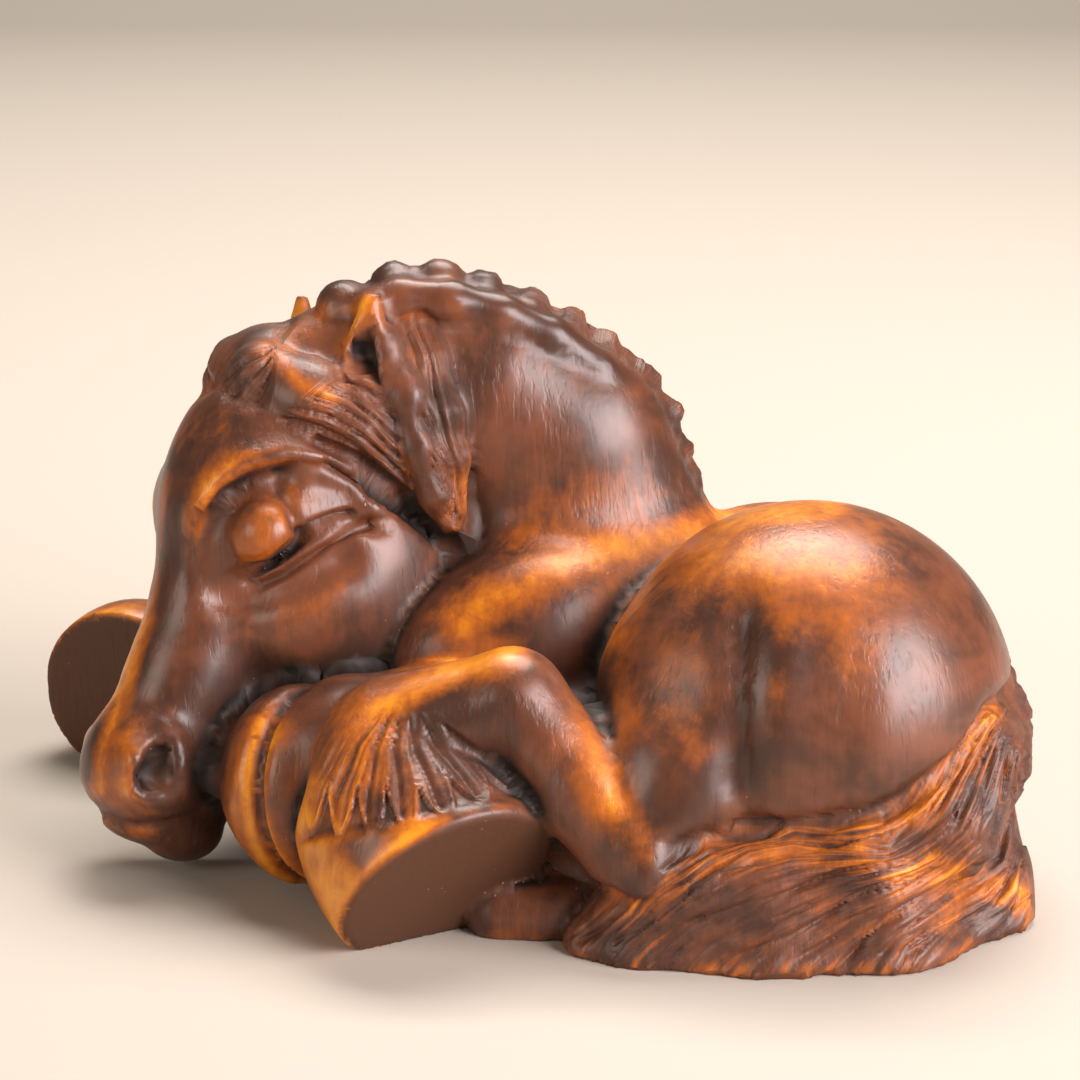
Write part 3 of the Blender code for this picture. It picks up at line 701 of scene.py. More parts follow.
def locks(across, along, count, seed):
    """Strands: how deep each point lies below the fullest of them, from 0 to 1."""
    phase = across * count + WAVER * np.sin(along * WAVER_RATE + seed)
    phase = phase + SLOW_WAVER * np.sin(along * SLOW_RATE * count + 2 * seed)
    sunk = 0.5 + 0.5 * np.sin(np.floor(phase) * 12.9 + seed * 7.7)
    between = grooves(phase)
    return between * GROOVE_SHARE + (1 - GROOVE_SHARE) * sunk * (1 - between)


# %% Guides for the tail, the temple, the forelock and the feather
TAIL_GUIDES = [
    [(990, 690), (937, 750), (893, 787), (827, 817), (760, 828), (703, 830), (683, 853), (627, 903),
     (575, 945)],
    [(997, 713), (957, 773), (918, 832), (893, 850), (843, 845), (793, 837), (747, 845), (710, 867),
     (660, 907), (610, 947)],
    [(1003, 727), (977, 780), (960, 827), (913, 863), (860, 870), (807, 880), (760, 897), (717, 923),
     (677, 950), (647, 970)],
    [(1010, 733), (993, 800), (973, 840), (943, 870), (893, 890), (847, 903), (807, 923), (760, 950),
     (727, 975)],
    [(1023, 750), (1017, 813), (1003, 853), (960, 887), (913, 913), (860, 940), (813, 975)],
    [(1030, 773), (1025, 840), (1020, 867), (993, 900), (953, 927), (913, 953), (887, 980)],
    [(1033, 867), (1040, 893), (1020, 920), (990, 940), (973, 960), (960, 980)],
    [(1042, 873), (1050, 923), (1035, 960), (1015, 985)],
]
TEMPLE_GUIDES = [
    [(259, 428), (290, 443), (340, 456), (371, 477), (402, 496), (427, 515), (443, 531)],
    [(271, 415), (309, 427), (349, 443), (381, 465), (409, 490), (440, 524)],
    [(290, 409), (327, 418), (365, 440), (390, 459), (418, 487), (443, 515)],
    [(284, 393), (309, 396), (340, 406), (371, 424), (396, 452), (421, 481), (446, 515)],
    [(271, 365), (309, 384), (349, 396), (384, 421), (415, 456), (449, 496)],
    [(284, 356), (327, 365), (365, 387), (396, 415), (431, 459), (452, 499)],
    [(327, 359), (365, 377), (402, 409), (437, 459), (456, 509)],
    [(390, 318), (402, 365), (421, 415), (446, 465), (459, 515)],
    [(406, 300), (427, 355), (443, 415), (462, 471), (465, 521)],
    [(430, 295), (452, 355), (465, 415), (473, 459), (470, 530)],
]
FORELOCK_GUIDES = [
    [(277, 340), (231, 344), (202, 365), (183, 402), (176, 440)],
    [(277, 346), (240, 359), (212, 387), (196, 421), (190, 445)],
    [(277, 349), (252, 371), (227, 396), (215, 427), (212, 445)],
    [(277, 352), (265, 381), (246, 409), (237, 440)],
    [(280, 359), (276, 387), (268, 415), (262, 438)],
]
FEATHER_GUIDES = [
    [(385, 700), (330, 740), (300, 800), (294, 850)],
    [(392, 700), (350, 740), (325, 790), (318, 855)],
    [(398, 702), (370, 745), (355, 790), (352, 855)],
    [(404, 704), (388, 750), (385, 790), (390, 852)],
    [(412, 706), (410, 750), (420, 795), (435, 838)],
    [(420, 706), (432, 745), (455, 785), (480, 820)],
    [(430, 706), (455, 740), (490, 775), (520, 808)],
    [(440, 706), (475, 735), (515, 770), (548, 800)],
]
print("guides:", len(TAIL_GUIDES), "for the tail,", len(TEMPLE_GUIDES), "for the temple,",
      len(FORELOCK_GUIDES), "for the forelock,", len(FEATHER_GUIDES), "for the feather")

# %% [markdown]
# Hair and sharp rims need closer points than the smooth rump does. Rather than a finer skin everywhere, the
# edges there are cut in two, which gives four squares for one and leaves the rest light. How sharply the skin
# bends is read from the field: a little above a crease, or a little below a ridge, it is nearer to
# zero than it is over flat skin. Four places are cut twice: the strands that face the camera, the lashes,
# the feather over the near hoof, and the sharpest rims, such as those of the soles.

# %% A finer skin where the hair is
FACING_FADE = 0.35
TAIL_REACH = (0.7, 0.6)
HAIR_REACH = (0.6, 0.5)
BEHIND_REACH = (1.0, 0.8)
SKULL_REACH = (1.0, 0.8)
LOCK_FADE = 1.5
RIM_REACH = 0.7
RIM_INSIDE = 0.72
RIM_OUTSIDE = 1.3
CORONET_REACH = 7


def within_reach(d, reach):
    """1 where a part's field is well below a limit, 0 above it; reach is the limit and its fade."""
    limit, fade = reach
    return ramp((limit - d) / fade)


def facing_camera(p, normal):
    """1 where the skin faces the camera, 0 where it turns away."""
    to_camera = np.array(CAMERA_PLACE) - p
    to_camera /= lengths(to_camera)[:, None]
    return ramp((to_camera * normal).sum(axis=1) / FACING_FADE)


def normals_of(p):
    slope = slope_of(p)
    return slope / np.maximum(lengths(slope), 1e-9)[:, None]


def near_side(p):
    """Points of the head's far side, brought over to the near side."""
    q = (p - np.array(HEAD_PLACE)) @ HEAD_AXES.T
    q[:, 0] = np.abs(q[:, 0])
    return q @ HEAD_AXES + np.array(HEAD_PLACE)


def hair_growth(p):
    """How much each point belongs to the tail, the head's hair and the mane's far locks."""
    on_tail = within_reach(tail(p), TAIL_REACH)
    q = (p - np.array(HEAD_PLACE)) @ HEAD_AXES.T
    m = np.abs(q) * [1, 0, 0] + q * [0, 1, 1]
    on_head = within_reach(head_hair(q, m), HAIR_REACH)
    behind = within_reach(chain(p, BEHIND_EAR, SOFT), BEHIND_REACH)
    drop = lengths(follow(p, CREST)[1])
    on_mane = ramp(p[:, 1] - LOCK_SIDE + LOCK_FADE) * ramp(LOCK_DROP + LOCK_WAVE - drop)
    return on_tail, np.maximum(on_head, behind), on_mane


def bend_of(p, normal, reach):
    """How sharply the skin bends: above zero on ridges and rims, below zero in creases."""
    return (horse(p - reach * normal) + horse(p + reach * normal)) / reach


def sole_height(p, foot):
    """How far points lie above a hoof's sole, and how far from its middle, in radii."""
    sole, facing, toe, radius = foot[:4]
    q = p - np.array(sole)
    return -(q @ unit(facing)), lengths(q) / radius


def on_sole_rim(p, foot):
    """Whether points lie along the rim of a hoof's sole."""
    up, out = sole_height(p, foot)
    return (np.abs(up) < RIM_REACH) & (out > RIM_INSIDE) & (out < RIM_OUTSIDE)


def on_coronet(p):
    """Whether points lie along the groove round the near fore hoof."""
    across = np.abs((p - np.array(CORONET)) @ unit(CORONET_FACING))
    far = lengths(p - np.array(NEAR_FORE_HOOF[0]))
    return (across < 2 * CORONET_WIDTH) & (far < CORONET_REACH)


def cut_finer(mesh, chosen):
    """Cuts the edges between chosen points in two and presses the new points onto the field."""
    fine = bmesh.new()
    fine.from_mesh(mesh)
    fine.verts.ensure_lookup_table()
    split = [e for e in fine.edges if chosen[e.verts[0].index] and chosen[e.verts[1].index]]
    bmesh.ops.subdivide_edges(fine, edges=split, cuts=1, use_grid_fill=True)
    fine.to_mesh(mesh)
    fine.free()
    press(mesh, 1, SKIN_REACH)


BEND_REACH = 0.6
FIRST_BEND = 0.14
SECOND_BEND = 0.54
EYE_PLACE = (285, 530)
EYE_REACH = 90
LASH_PLACE = (305, 535)
LASH_REACH = 72
FEATHER_PLACE = (420, 790)
FEATHER_REACH = 140
LEAST_HAIR = 0.05
LEAST_FACING = 0.3
HAIR_EDGE = 0.5
COMBED_LEFT = 250

grown = places(carving.data)
bend = np.abs(bend_of(grown, normals_of(grown), BEND_REACH))
near = grown[:, 1] < 0
eye = lengths(seen(grown) - np.array(EYE_PLACE)) < EYE_REACH
feather = lengths(seen(grown) - np.array(FEATHER_PLACE)) < FEATHER_REACH
hairy = np.max(hair_growth(grown), axis=0) > LEAST_HAIR
cut_finer(carving.data, hairy | (bend > FIRST_BEND) | ((eye | feather) & near))
grown = places(carving.data)
normal = normals_of(grown)
bend = np.abs(bend_of(grown, normal, BEND_REACH))
on_tail, on_head, on_mane = hair_growth(grown)
shown = facing_camera(grown, normal) * ramp(-grown[:, 1] + 2) > LEAST_FACING
at = seen(grown)
combed = ((on_tail > HAIR_EDGE) | ((on_head > HAIR_EDGE) & (at[:, 0] > COMBED_LEFT))) & shown
lashes = (lengths(at - np.array(LASH_PLACE)) < LASH_REACH) & (head(grown) < 1) & shown
feather = cover(at, FEATHER_GUIDES, 1.0).astype(bool) & shown & (on_tail < HAIR_EDGE)
rims = on_sole_rim(grown, NEAR_HIND_HOOF) | on_sole_rim(grown, FAR_FORE_HOOF)
rims |= on_coronet(grown)
sharp = (bend > SECOND_BEND) & (grown[:, 1] < 0) & (grown[:, 2] > 1)
cut_finer(carving.data, combed | lashes | feather | rims | sharp)
corners = sum(len(face.vertices) - 2 for face in carving.data.polygons)
print("after the cuts", len(carving.data.vertices), "points and", corners, "triangles")

# %% [markdown]
# The strands are cut into the fine skin now. Each point moves inwards, against the field's slope, by the
# depth its strand asks for, so the outline never grows past the solid's. Wide locks are cut deepest, and
# narrower ones ride on them. The feather, the hair that falls over the near hoof, is combed too and ends in
# tufts with a step below them. Lashes, nostrils and the edges of muscles are single strokes.

# %% Strands
TAIL_COUNTS = ((1.0, 0.95), (2.0, 0.5), (4.0, 0.2))
HEAD_COUNTS = ((1.0, 0.7), (2.0, 0.3))
MANE_PITCHES = ((1.1, 0.3), (0.55, 0.15))
TAIL_PITCH = 1.4
FOOT_SHARE = 0.25
FOOT_HEIGHT = 1.6
ROOT_LENGTH = 6.0
CROWN_GUIDES = [
    [(280, 350), (302, 318), (340, 292), (392, 280)],
    [(285, 340), (300, 308), (338, 280), (388, 266)],
    [(270, 335), (285, 300), (325, 268), (380, 250)],
]
FEATHER_COUNTS = ((1.0, 0.45), (3.0, 0.2))
FEATHER_VALLEY = 0.55
FEATHER_TIP = 0.33
FEATHER_STEP = 0.32
FEATHER_PIXELS = 140
LASH_LINES = [
    (0.6, 4.4, [(244, 582), (274, 562), (297, 543), (312, 527), (335, 517), (350, 514)]),
    (0.5, 4.4, [(252, 588), (282, 575), (312, 557), (335, 540), (351, 529), (372, 524)]),
    (0.3, 5.0, [(276, 490), (288, 508), (299, 532)]),
    (0.25, 6.0, [(276, 474), (300, 465), (330, 468), (355, 480), (368, 497)]),
    (0.35, 18.0, [(245, 600), (290, 590), (335, 560)]),
]
EAR_OPENING = [(365, 318), (351, 340), (348, 356), (364, 372), (381, 388), (377, 360)]
EAR_DEPTH = 0.9
BOX_EASE = 0.0003
BAND_EDGE = [
    (0.7, 5.0, [(330, 466), (368, 484), (398, 506), (425, 527), (440, 540)]),
    (0.6, 5.0, [(318, 440), (360, 462), (395, 487), (425, 513), (445, 531)]),
]
THIGH_LINES = [
    (0.35, 9.0, [(741, 625), (737, 660), (737, 720), (741, 790), (748, 812)]),
    (0.3, 18.0, [(730, 640), (728, 720), (735, 780)]),
    (0.22, 20.0, [(814, 630), (808, 700), (803, 770)]),
]
ROLL_LINES = [
    (0.38, 6.0, [(423, 300), (471, 317), (523, 330), (567, 336), (600, 356), (628, 389), (650, 426),
                 (665, 462)]),
    (0.18, 16.0, [(471, 330), (523, 344), (562, 352), (590, 374), (615, 405), (636, 440)]),
]
NOSTRIL_LINES = [
    (0.9, 9.0, [(160, 750), (156, 768), (144, 784)]),
    (-0.25, 5.0, [(173, 744), (178, 768), (167, 790), (149, 801), (133, 792)]),
]


def eased(x, limit):
    """Lengths that come close to a limit, eased so that they stay below it."""
    start = limit - BOX_EASE
    return np.minimum(x, start) + BOX_EASE * (1 - np.exp(-np.maximum(x - start, 0) / BOX_EASE))


def keep_inside(mesh):
    """Eases points near the faces of the solid's box back inside it; the underside stays flat."""
    flat = np.empty(len(mesh.vertices) * 3, np.float32)
    mesh.vertices.foreach_get("co", flat)
    p = flat.reshape(-1, 3).astype(float)
    p[:, :2] = -eased(-p[:, :2], -np.array(low)[:2])
    p = eased(p, np.array(high))
    p[:, 2] = np.maximum(p[:, 2], low[2])
    mesh.vertices.foreach_set("co", p.astype(np.float32).ravel())
    mesh.update()


def mirrored(p, normal):
    """The head's far side brought over to the near side, with its normals."""
    side = np.sign((p - np.array(HEAD_PLACE)) @ SIDE)
    n = normal @ HEAD_AXES.T
    n[:, 0] *= side
    return near_side(p), n @ HEAD_AXES


def strokes(at, lines):
    """Single strokes, each with a depth, a width in the picture and its points."""
    return sum(drawn(at, *line) for line in lines)


def feather_depth(p, at):
    """Tufts of hair over the near hoof: grooves between them, and a step down where they end."""
    across, along = comb(at, FEATHER_GUIDES)
    runs = [lengths(np.diff(guide, axis=0)).sum() for guide in FEATHER_GUIDES]
    share = along / np.interp(across, np.arange(len(runs)), runs)
    tuft = np.abs(np.sin(math.pi * across)) ** 0.8
    beyond = (share - FEATHER_VALLEY - FEATHER_TIP * tuft) * FEATHER_PIXELS
    strands = sum(depth * locks(across, along, count, 2.0) for count, depth in FEATHER_COUNTS)
    deep = strands * ramp(-beyond / 14) + FEATHER_STEP * ramp((beyond + 4) / 8)
    up, out = sole_height(p, NEAR_HIND_HOOF)
    return deep * cover(at, FEATHER_GUIDES, 16.0) * ramp(along / 30) * ramp((up - 0.4) / 1.2)


def strand_depth(p, normal):
    """How deep the strands are cut at each point, with the strand's own numbers for the stain."""
    on_tail, on_head, on_mane = hair_growth(p)
    facing = facing_camera(p, normal)
    at = seen(p)
    across, along = comb(at, TAIL_GUIDES)
    cut = sum(depth * locks(across, along, count, count) for count, depth in TAIL_COUNTS)
    run, offset, ahead = follow(p, TAIL)
    round_it = np.arctan2(offset[:, 2], (offset * np.cross(ahead, (0, 0, 1))).sum(axis=1)) * 4
    behind = 0.7 * locks(round_it / TAIL_PITCH, run * 12, 1.0, 5.0)
    above_floor = FOOT_SHARE + (1 - FOOT_SHARE) * ramp(p[:, 2] / FOOT_HEIGHT)
    deep = on_tail * (cut * facing + behind * (1 - facing)) * above_floor * ramp(run / ROOT_LENGTH)
    flow = np.stack([across * facing + round_it * (1 - facing), along * 0.01], axis=1)

    pm, nm = mirrored(p, normal)
    am = seen(pm)
    fm = facing_camera(pm, nm)
    for guides, seed in ((TEMPLE_GUIDES, 3.0), (FORELOCK_GUIDES, 4.0), (CROWN_GUIDES, 6.0)):
        across, along = comb(am, guides)
        mask = cover(am, guides, 14.0) * fm * on_head * (1 - on_tail)
        deep += mask * sum(depth * locks(across, along, count, seed) for count, depth in HEAD_COUNTS)
        flow = flow * (1 - mask[:, None]) + np.stack([across, along * 0.01], axis=1) * mask[:, None]

    run, offset, ahead = follow(p, CREST)
    drop = lengths(offset)
    mask = on_mane * (1 - on_head) * (1 - on_tail)
    deep += mask * sum(depth * locks(run / pitch, drop * 20, 1.0, 7.0) for pitch, depth in MANE_PITCHES)
    flow = flow * (1 - mask[:, None]) + np.stack([run, drop * 0.1], axis=1) * mask[:, None]
    hair = np.clip(on_tail + on_head + mask, 0, 1)

    near = ramp(-p[:, 1] / 2) * facing
    on_skull = within_reach(head(p), SKULL_REACH) * fm
    ear = EAR_DEPTH * within(am, EAR_OPENING, 5.0)
    deep += near * (strokes(at, THIGH_LINES + ROLL_LINES) + feather_depth(p, at)) * (1 - on_tail)
    deep += on_skull * (strokes(am, LASH_LINES + BAND_EDGE + NOSTRIL_LINES) + ear)
    return deep, hair, flow


skin = places(carving.data)
normal = normals_of(skin)
deep, hair, flow = strand_depth(skin, normal)
move(carving.data, skin - normal * deep[:, None])
keep_inside(carving.data)
print("strands cut up to", round(float(deep.max()), 2), "grains deep")

# %% [markdown]
# The stain is darkened in the hollows, partly by grime that fingers never reach and partly as painted shade,
# and is rubbed through to golden wood on everything that stands proud. So each point gets marks that the
# material will read: how hollow its place is, which also sets the painted shade, how much it is worn, whether
# hair grows there, and its strand. Hollows and edges are measured on the field, a little outside the skin and
# a little inside it. Larger patches are put where hands have rubbed this carving; the one on the top of the
# muzzle is a painted highlight.

# %% Marks on the skin
RUMP_WEAR = [
    (0.80, 30, [(610, 705), (604, 655), (608, 608), (640, 562), (690, 530), (750, 512), (830, 505)]),
    (0.70, 60, [(700, 555), (780, 560), (850, 560)]),
    (0.55, 50, [(790, 620), (850, 640)]),
    (0.40, 26, [(776, 660), (778, 760)]),
    (0.35, 60, [(690, 660), (680, 740)]),
    (0.75, 34, [(612, 720), (606, 765), (618, 800)]),
]
SHOULDER_WEAR = [
    (0.80, 34, [(465, 622), (500, 596), (550, 566), (610, 548), (680, 540)]),
    (0.45, 60, [(520, 540), (600, 500), (650, 500)]),
]
HOOF_WEAR = [
    (0.90, 24, [(510, 650), (460, 666), (410, 690), (375, 716)]),
    (0.80, 44, [(372, 725), (350, 770), (335, 820)]),
    (1.05, 36, [(318, 800), (318, 850), (338, 895), (360, 925)]),
    (0.60, 30, [(420, 800), (402, 850), (370, 885)]),
    (0.40, 34, [(400, 745), (430, 790)]),
    (0.75, 28, [(262, 730), (245, 770), (243, 810), (262, 850), (280, 875)]),
    (0.60, 26, [(135, 606), (95, 618), (68, 645)]),
    (0.50, 24, [(62, 735), (85, 750)]),
    (0.45, 30, [(650, 850), (600, 800)]),
]
HEAD_WEAR_AND_HIGHLIGHT = [
    (0.80, 13, [(160, 470), (153, 540), (146, 610), (128, 680), (104, 745), (98, 790)]),
    (0.35, 24, [(120, 805), (150, 850)]),
    # The stroke on the top of the muzzle is a painted highlight, not wear.
    (0.55, 26, [(116, 735), (120, 790)]),
    (0.40, 26, [(200, 525), (208, 480), (236, 452)]),
    (0.35, 34, [(180, 440), (230, 420)]),
    (0.50, 30, [(258, 545), (275, 520)]),
    (0.35, 40, [(290, 605), (340, 600)]),
    (0.60, 14, [(266, 350), (280, 362), (300, 383), (330, 396)]),
    (0.50, 22, [(285, 345), (310, 320), (335, 300)]),
    (0.45, 16, [(330, 290), (385, 268)]),
    (0.55, 9, [(365, 300), (350, 322), (338, 352)]),
    (0.35, 14, [(400, 450), (425, 485), (443, 520)]),
]
TAIL_WEAR = [
    (1.25, 24, [(992, 708), (958, 760), (922, 800), (880, 828), (835, 842)]),
    (0.70, 22, [(990, 740), (965, 790), (935, 815)]),
    (1.20, 22, [(695, 866), (725, 848), (770, 842), (830, 850), (880, 856)]),
    (0.80, 24, [(640, 905), (690, 872)]),
    (1.00, 22, [(900, 885), (930, 868), (965, 884)]),
    (1.10, 20, [(985, 880), (1005, 890), (1030, 900)]),
    (0.25, 50, [(700, 900), (800, 880), (880, 905)]),
    (0.60, 18, [(960, 900), (955, 930)]),
    (0.35, 60, [(1000, 780), (980, 840)]),
]
BACK_SHARE = 0.3
SOLES = (NEAR_HIND_HOOF, FAR_FORE_HOOF, FAR_HIND_HOOF)
HOLLOW_REACHES = ((0.9, 0.55), (2.6, 0.6))
EDGE_REACHES = ((1.2, 1.2), (4.0, 0.5))
EDGE_WEAR = 0.45
SOLE_FADE = 0.25
SOLE_TURN = 0.55
SOLE_TURN_FADE = 0.4


def hollow_of(p, n):
    """How closed in each place is, close by and a little further out."""
    closed = sum(share * (1 - horse(p + reach * n) / reach) for reach, share in HOLLOW_REACHES)
    return np.clip(closed, 0, 1)


def edge_of(p, n):
    """How sharply the wood stands proud at each place, on fine edges and on round ones."""
    proud = sum(share * (1 + horse(p - reach * n) / reach) for reach, share in EDGE_REACHES)
    return np.clip(proud, 0, 1)


def rubbed_places(p, on_tail, facing):
    """Where hands have rubbed the carving, and one painted highlight on the muzzle, drawn as strokes in the
    picture.
    """
    on_skull = head(p) < 1.0
    at = seen(np.where(on_skull[:, None], near_side(p), p))
    rubbed = np.zeros(len(p))
    for stroke in RUMP_WEAR + SHOULDER_WEAR + HOOF_WEAR:
        rubbed = np.maximum(rubbed, drawn(at, *stroke) * ~on_skull * (1 - on_tail))
    for stroke in TAIL_WEAR:
        rubbed = np.maximum(rubbed, drawn(at, *stroke) * on_tail * (BACK_SHARE + (1 - BACK_SHARE) * facing))
    for stroke in HEAD_WEAR_AND_HIGHLIGHT:
        rubbed = np.maximum(rubbed, drawn(at, *stroke) * on_skull)
    return rubbed


def sole_of(p, n):
    """1 on the flat soles of the hooves."""
    found = np.zeros(len(p))
    for sole, facing, toe, radius, top_radius, height, slope in SOLES:
        q = p - np.array(sole)
        flat = ramp(1.5 - np.abs(q @ unit(facing)) / SOLE_FADE)
        flat *= lengths(q) < radius * RIM_OUTSIDE
        found = np.maximum(found, flat * ramp((n @ unit(facing) - SOLE_TURN) / SOLE_TURN_FADE))
    return found


def mark(mesh, name, values):
    """Stores one number for each point under a name that the material can read."""
    layer = mesh.attributes.new(name, "FLOAT", "POINT")
    layer.data.foreach_set("value", np.asarray(values, np.float32))


hollow = hollow_of(skin, normal)
rubbed = rubbed_places(skin, hair_growth(skin)[0], facing_camera(skin, normal))
# worn holds the wear and also the painted highlight on the top of the muzzle.
worn = np.clip(rubbed + EDGE_WEAR * edge_of(skin, normal), 0, 1)
kept = (1 - (0.8 - 0.6 * hair) * hollow) * np.clip(1 - (1.8 - 1.2 * hair) * deep, 0, 1)
marks = {
    "worn": worn * kept,
    # The hollow mark also rises in the strand grooves, which paints shade into them.
    "hollow": np.clip(hollow * (1 - 0.35 * hair) + (0.8 - 0.3 * hair) * deep, 0, 1),
    "hair": hair,
    "sole": sole_of(skin, normal),
    "strand": flow[:, 0],
    "strand_run": flow[:, 1],
}
for name, values in marks.items():
    mark(carving.data, name, values)
carving.data.shade_smooth()
print("marks:", ", ".join(marks))

# %% [markdown]
# The finish is a dark reddish-brown stain under wax, rubbed through to orange and gold. Three things make it:
# a colour that goes from dark hollows, darkened partly by grime and partly as painted shade, to golden edges
# with cloudy noise between them, a gloss that is broken by fine scratches and dulled in the hollows, and a
# bump of scratches, pores and thin strands.
# The colour is one node group, gloss and bump are another, and both can be used again on another carving.

# %% Node tools


def add_node(tree, kind, inputs=None, **settings):
    """A node with its settings; each input is a plain value or another node's socket."""
    made = tree.nodes.new("ShaderNode" + kind)
    for name, value in settings.items():
        setattr(made, name, value)
    for name, value in (inputs or {}).items():
        if isinstance(value, bpy.types.NodeSocket):
            tree.links.new(value, made.inputs[name])
        else:
            made.inputs[name].default_value = value
    return made


def mark_of(tree, name):
    """The socket of a mark stored on the skin."""
    return add_node(tree, "Attribute", attribute_name=name).outputs["Fac"]


def reckon(tree, operation, *values, clamp=False):
    """A Math node's result."""
    inputs = dict(enumerate(values))
    return add_node(tree, "Math", inputs, operation=operation, use_clamp=clamp).outputs[0]


def times(tree, a, b):
    return reckon(tree, "MULTIPLY", a, b)


def plus(tree, a, b):
    return reckon(tree, "ADD", a, b)


def add_shares(tree, start, shares, clamp=False):
    """A start value with a share of each socket added; only the last sum is clamped."""
    total = start
    for value, share in shares[:-1]:
        total = reckon(tree, "MULTIPLY_ADD", value, share, total)
    return reckon(tree, "MULTIPLY_ADD", *shares[-1], total, clamp=clamp)


def stretched(tree, place, turn, scale):
    """A place turned and stretched, for noise that runs one way."""
    inputs = {"Vector": place, "Rotation": turn, "Scale": scale}
    return add_node(tree, "Mapping", inputs).outputs["Vector"]


def on_strand(tree, across, along):
    """A place made of a strand's own number and of the length along it."""
    inputs = {"X": times(tree, given["Strand"], across), "Y": times(tree, given["Strand Run"], along)}
    return add_node(tree, "CombineXYZ", inputs).outputs["Vector"]


def blend_colours(tree, share, a, b):
    """A mix of two colours."""
    return add_node(tree, "Mix", {0: share, 6: a, 7: b}, data_type="RGBA").outputs[2]


def cloud(tree, vector, scale, detail=4.0, roughness=0.55, distortion=0.0):
    """Soft noise from 0 to 1."""
    inputs = {"Vector": vector, "Scale": scale, "Detail": detail, "Roughness": roughness,
              "Distortion": distortion}
    return add_node(tree, "TexNoise", inputs).outputs["Fac"]


def step_between(tree, value, start, end):
    """0 below start, 1 above end, smooth between."""
    inputs = {"Value": value, "From Min": start, "From Max": end}
    return add_node(tree, "MapRange", inputs, interpolation_type="SMOOTHSTEP").outputs["Result"]


def title_of(name):
    """A mark's name as a group shows it."""
    return name.replace("_", " ").title()


def new_group(name, marks, results):
    """An empty node group that takes the place and some marks, and gives out a few results."""
    kinds = {"Place": "NodeSocketVector", "Colour": "NodeSocketColor"}
    tree = bpy.data.node_groups.new(name, "ShaderNodeTree")
    for title in ["Place", *map(title_of, marks)]:
        tree.interface.new_socket(title, in_out="INPUT", socket_type=kinds.get(title, "NodeSocketFloat"))
    for title in results:
        tree.interface.new_socket(title, in_out="OUTPUT", socket_type=kinds.get(title, "NodeSocketFloat"))
    return tree, tree.nodes.new("NodeGroupInput").outputs, tree.nodes.new("NodeGroupOutput").inputs


print("node tools ready")

# %% The stain, with painted shade in the hollows
DARK_STAIN = (0.052, 0.0185, 0.0095, 1.0)
BROWN_STAIN = (0.150, 0.0460, 0.0190, 1.0)
ORANGE_WOOD = (0.42, 0.102, 0.0050, 1.0)
GOLDEN_WOOD = (0.78, 0.300, 0.0140, 1.0)
# The hollow colour is partly real grime and partly painted shade; DEEP_SHADE is painted shade alone.
HOLLOW_DIRT_AND_SHADE = (0.030, 0.0130, 0.0070, 1.0)
DEEP_SHADE = (0.013, 0.0055, 0.0030, 1.0)
SOLE_WOOD = (0.078, 0.0270, 0.0100, 1.0)
DUST = (0.30, 0.19, 0.11, 1.0)

stain, given, out = new_group("rubbed_stain_and_shade", marks, ["Colour"])


def swing(tree, noise):
    """Noise made to swing evenly about zero."""
    return reckon(tree, "SUBTRACT", noise, 0.5)


broad = cloud(stain, given["Place"], 150.0, 3.0, 0.6, 0.6)
small = cloud(stain, given["Place"], 620.0, 6.0, 0.7, 0.4)
fibres = stretched(stain, given["Place"], (0.2, 0.5, 0.3), (1500.0, 1500.0, 190.0))
fibre = cloud(stain, fibres, 1.0, 3.0, 0.6)
streak = times(stain, swing(stain, cloud(stain, on_strand(stain, 5.0, 0.7), 1.0, 3.0, 0.6)), given["Hair"])
uneven = add_shares(stain, 0.0, [(swing(stain, broad), 0.8), (swing(stain, small), 0.55),
                                 (swing(stain, fibre), 0.35)])
# Worn brings in the wear and the painted highlight on the top of the muzzle.
rubbed = add_shares(stain, plus(stain, given["Worn"], uneven), [(streak, 1.6)])
ground = step_between(stain, plus(stain, broad, uneven), 0.2, 0.85)
shade = blend_colours(stain, ground, DARK_STAIN, BROWN_STAIN)
# The last two layers darken the hollows and strand grooves: partly grime, and partly painted shade.
for value, start, end, layer in ((rubbed, 0.22, 0.90, ORANGE_WOOD), (rubbed, 0.62, 1.18, GOLDEN_WOOD),
                                 (given["Hollow"], 0.38, 1.0, HOLLOW_DIRT_AND_SHADE),
                                 (given["Hollow"], 0.8, 1.0, DEEP_SHADE)):
    shade = blend_colours(stain, step_between(stain, value, start, end), shade, layer)
shade = blend_colours(stain, given["Sole"], shade, SOLE_WOOD)
specks = add_node(stain, "TexVoronoi", {"Vector": given["Place"], "Scale": 1500.0})
few = reckon(stain, "LESS_THAN", specks.outputs["Distance"], 0.09)
where = step_between(stain, cloud(stain, given["Place"], 240.0), 0.50, 0.62)
in_hollows = times(stain, step_between(stain, given["Hollow"], 0.15, 0.5), 0.9)
caught = reckon(stain, "MAXIMUM", in_hollows, times(stain, given["Sole"], 0.5))
dust = times(stain, times(stain, few, where), caught)
stain.links.new(blend_colours(stain, dust, shade, DUST), out["Colour"])
print("stain of", len(stain.nodes), "nodes")

# %% Scratches, pores and strands
PLAIN_GLOSS = 0.29
WAX = 0.14
other_marks = [name for name in marks if name != "worn"]
handled, given, out = new_group("handled_surface", other_marks, ["Height", "Roughness", "Coat"])


def hatching(tree, turn, scale, stretch, start, end):
    """Fine scratches that run one way."""
    place = stretched(tree, given["Place"], turn, (scale, scale, scale * stretch))
    return step_between(tree, cloud(tree, place, 1.0, 2.0, 0.5), start, end)


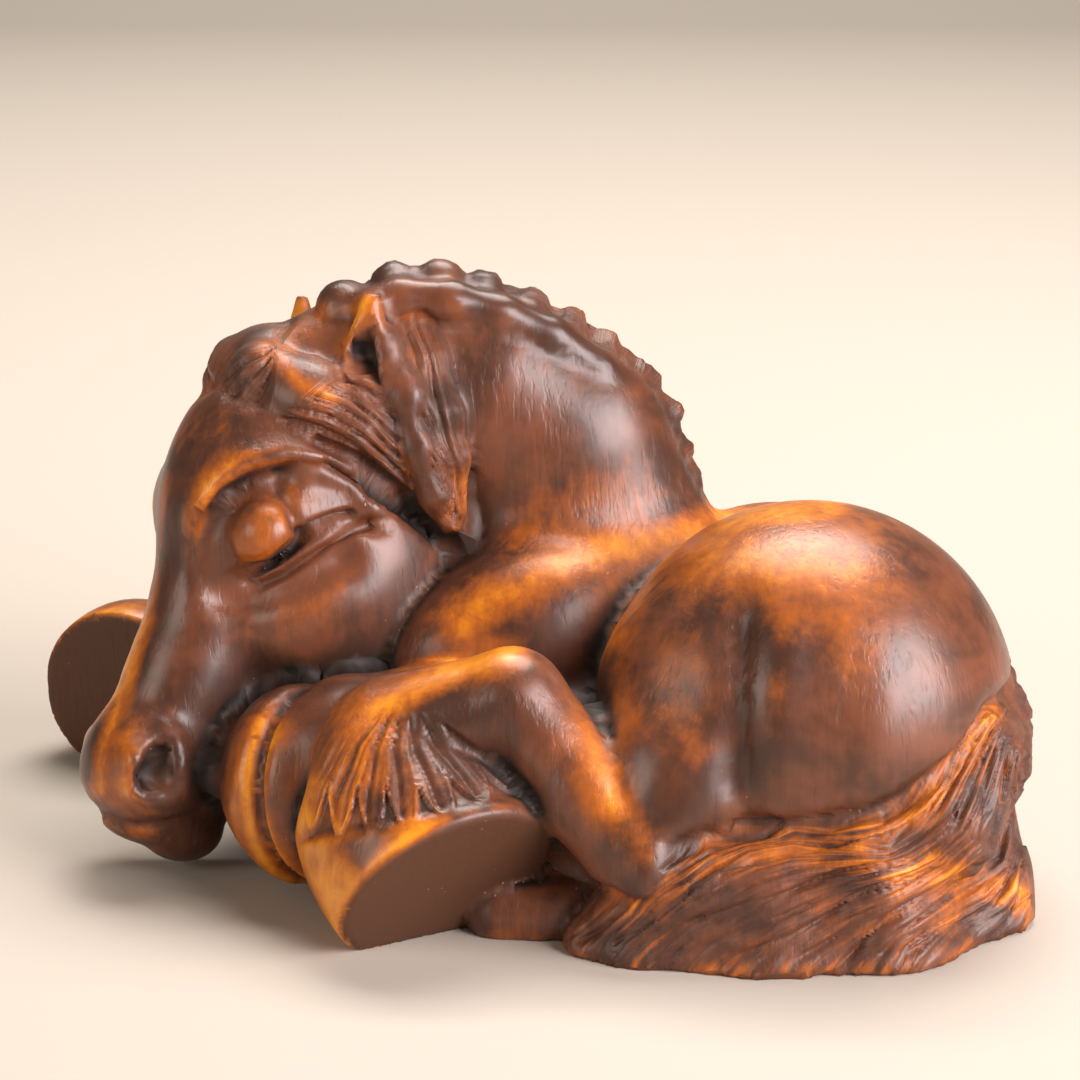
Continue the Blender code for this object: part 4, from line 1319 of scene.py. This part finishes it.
scratches = plus(handled, hatching(handled, (0.3, 0.15, 0.0), 2600.0, 0.10, 0.50, 0.68),
                 hatching(handled, (-0.5, 0.7, 0.4), 2100.0, 0.12, 0.54, 0.70))
patchy = step_between(handled, cloud(handled, given["Place"], 130.0, 2.0), 0.38, 0.62)
scratches = times(handled, scratches, patchy)
dents = cloud(handled, given["Place"], 420.0, 3.0, 0.6)
strand_lines = times(handled, cloud(handled, on_strand(handled, 7.0, 2.2), 1.0, 2.5, 0.6), given["Hair"])
height = add_shares(handled, 0.0, [(scratches, -0.25), (dents, 0.5), (strand_lines, 2.2)])
handled.links.new(height, out["Height"])
gloss = add_shares(handled, PLAIN_GLOSS, [(scratches, 0.05), (dents, 0.10), (given["Hollow"], 0.30),
                                          (given["Hair"], 0.07), (given["Sole"], 0.32)], clamp=True)
handled.links.new(gloss, out["Roughness"])
waxed = reckon(handled, "SUBTRACT", 1.0, plus(handled, given["Hollow"], given["Sole"]), clamp=True)
handled.links.new(times(handled, waxed, WAX), out["Coat"])
print("surface of", len(handled.nodes), "nodes")

# %% The boxwood
BUMP_STRENGTH = 0.55
BUMP_DISTANCE = 0.00008
wood = bpy.data.materials.new("stained_boxwood")
wood.use_nodes = True
tree = wood.node_tree
place = add_node(tree, "TexCoord").outputs["Object"]
colour = add_node(tree, "Group", node_tree=stain)
surface = add_node(tree, "Group", node_tree=handled)
for group in (colour, surface):
    tree.links.new(place, group.inputs["Place"])
for name in marks:
    read = mark_of(tree, name)
    for group in (colour, surface):
        if title_of(name) in group.inputs:
            tree.links.new(read, group.inputs[title_of(name)])
bump = add_node(tree, "Bump", {"Height": surface.outputs["Height"], "Strength": BUMP_STRENGTH,
                                         "Distance": BUMP_DISTANCE})
look = tree.nodes["Principled BSDF"]
tree.links.new(colour.outputs["Colour"], look.inputs["Base Color"])
tree.links.new(surface.outputs["Roughness"], look.inputs["Roughness"])
tree.links.new(bump.outputs["Normal"], look.inputs["Normal"])
tree.links.new(surface.outputs["Coat"], look.inputs["Coat Weight"])
look.inputs["Specular IOR Level"].default_value = 0.42
look.inputs["Coat Roughness"].default_value = 0.28
carving.data.materials.clear()
carving.data.materials.append(wood)
print("boxwood on", carving.name)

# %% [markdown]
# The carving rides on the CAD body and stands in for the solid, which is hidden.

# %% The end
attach(carving, "root")
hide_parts("sleeping_horse")
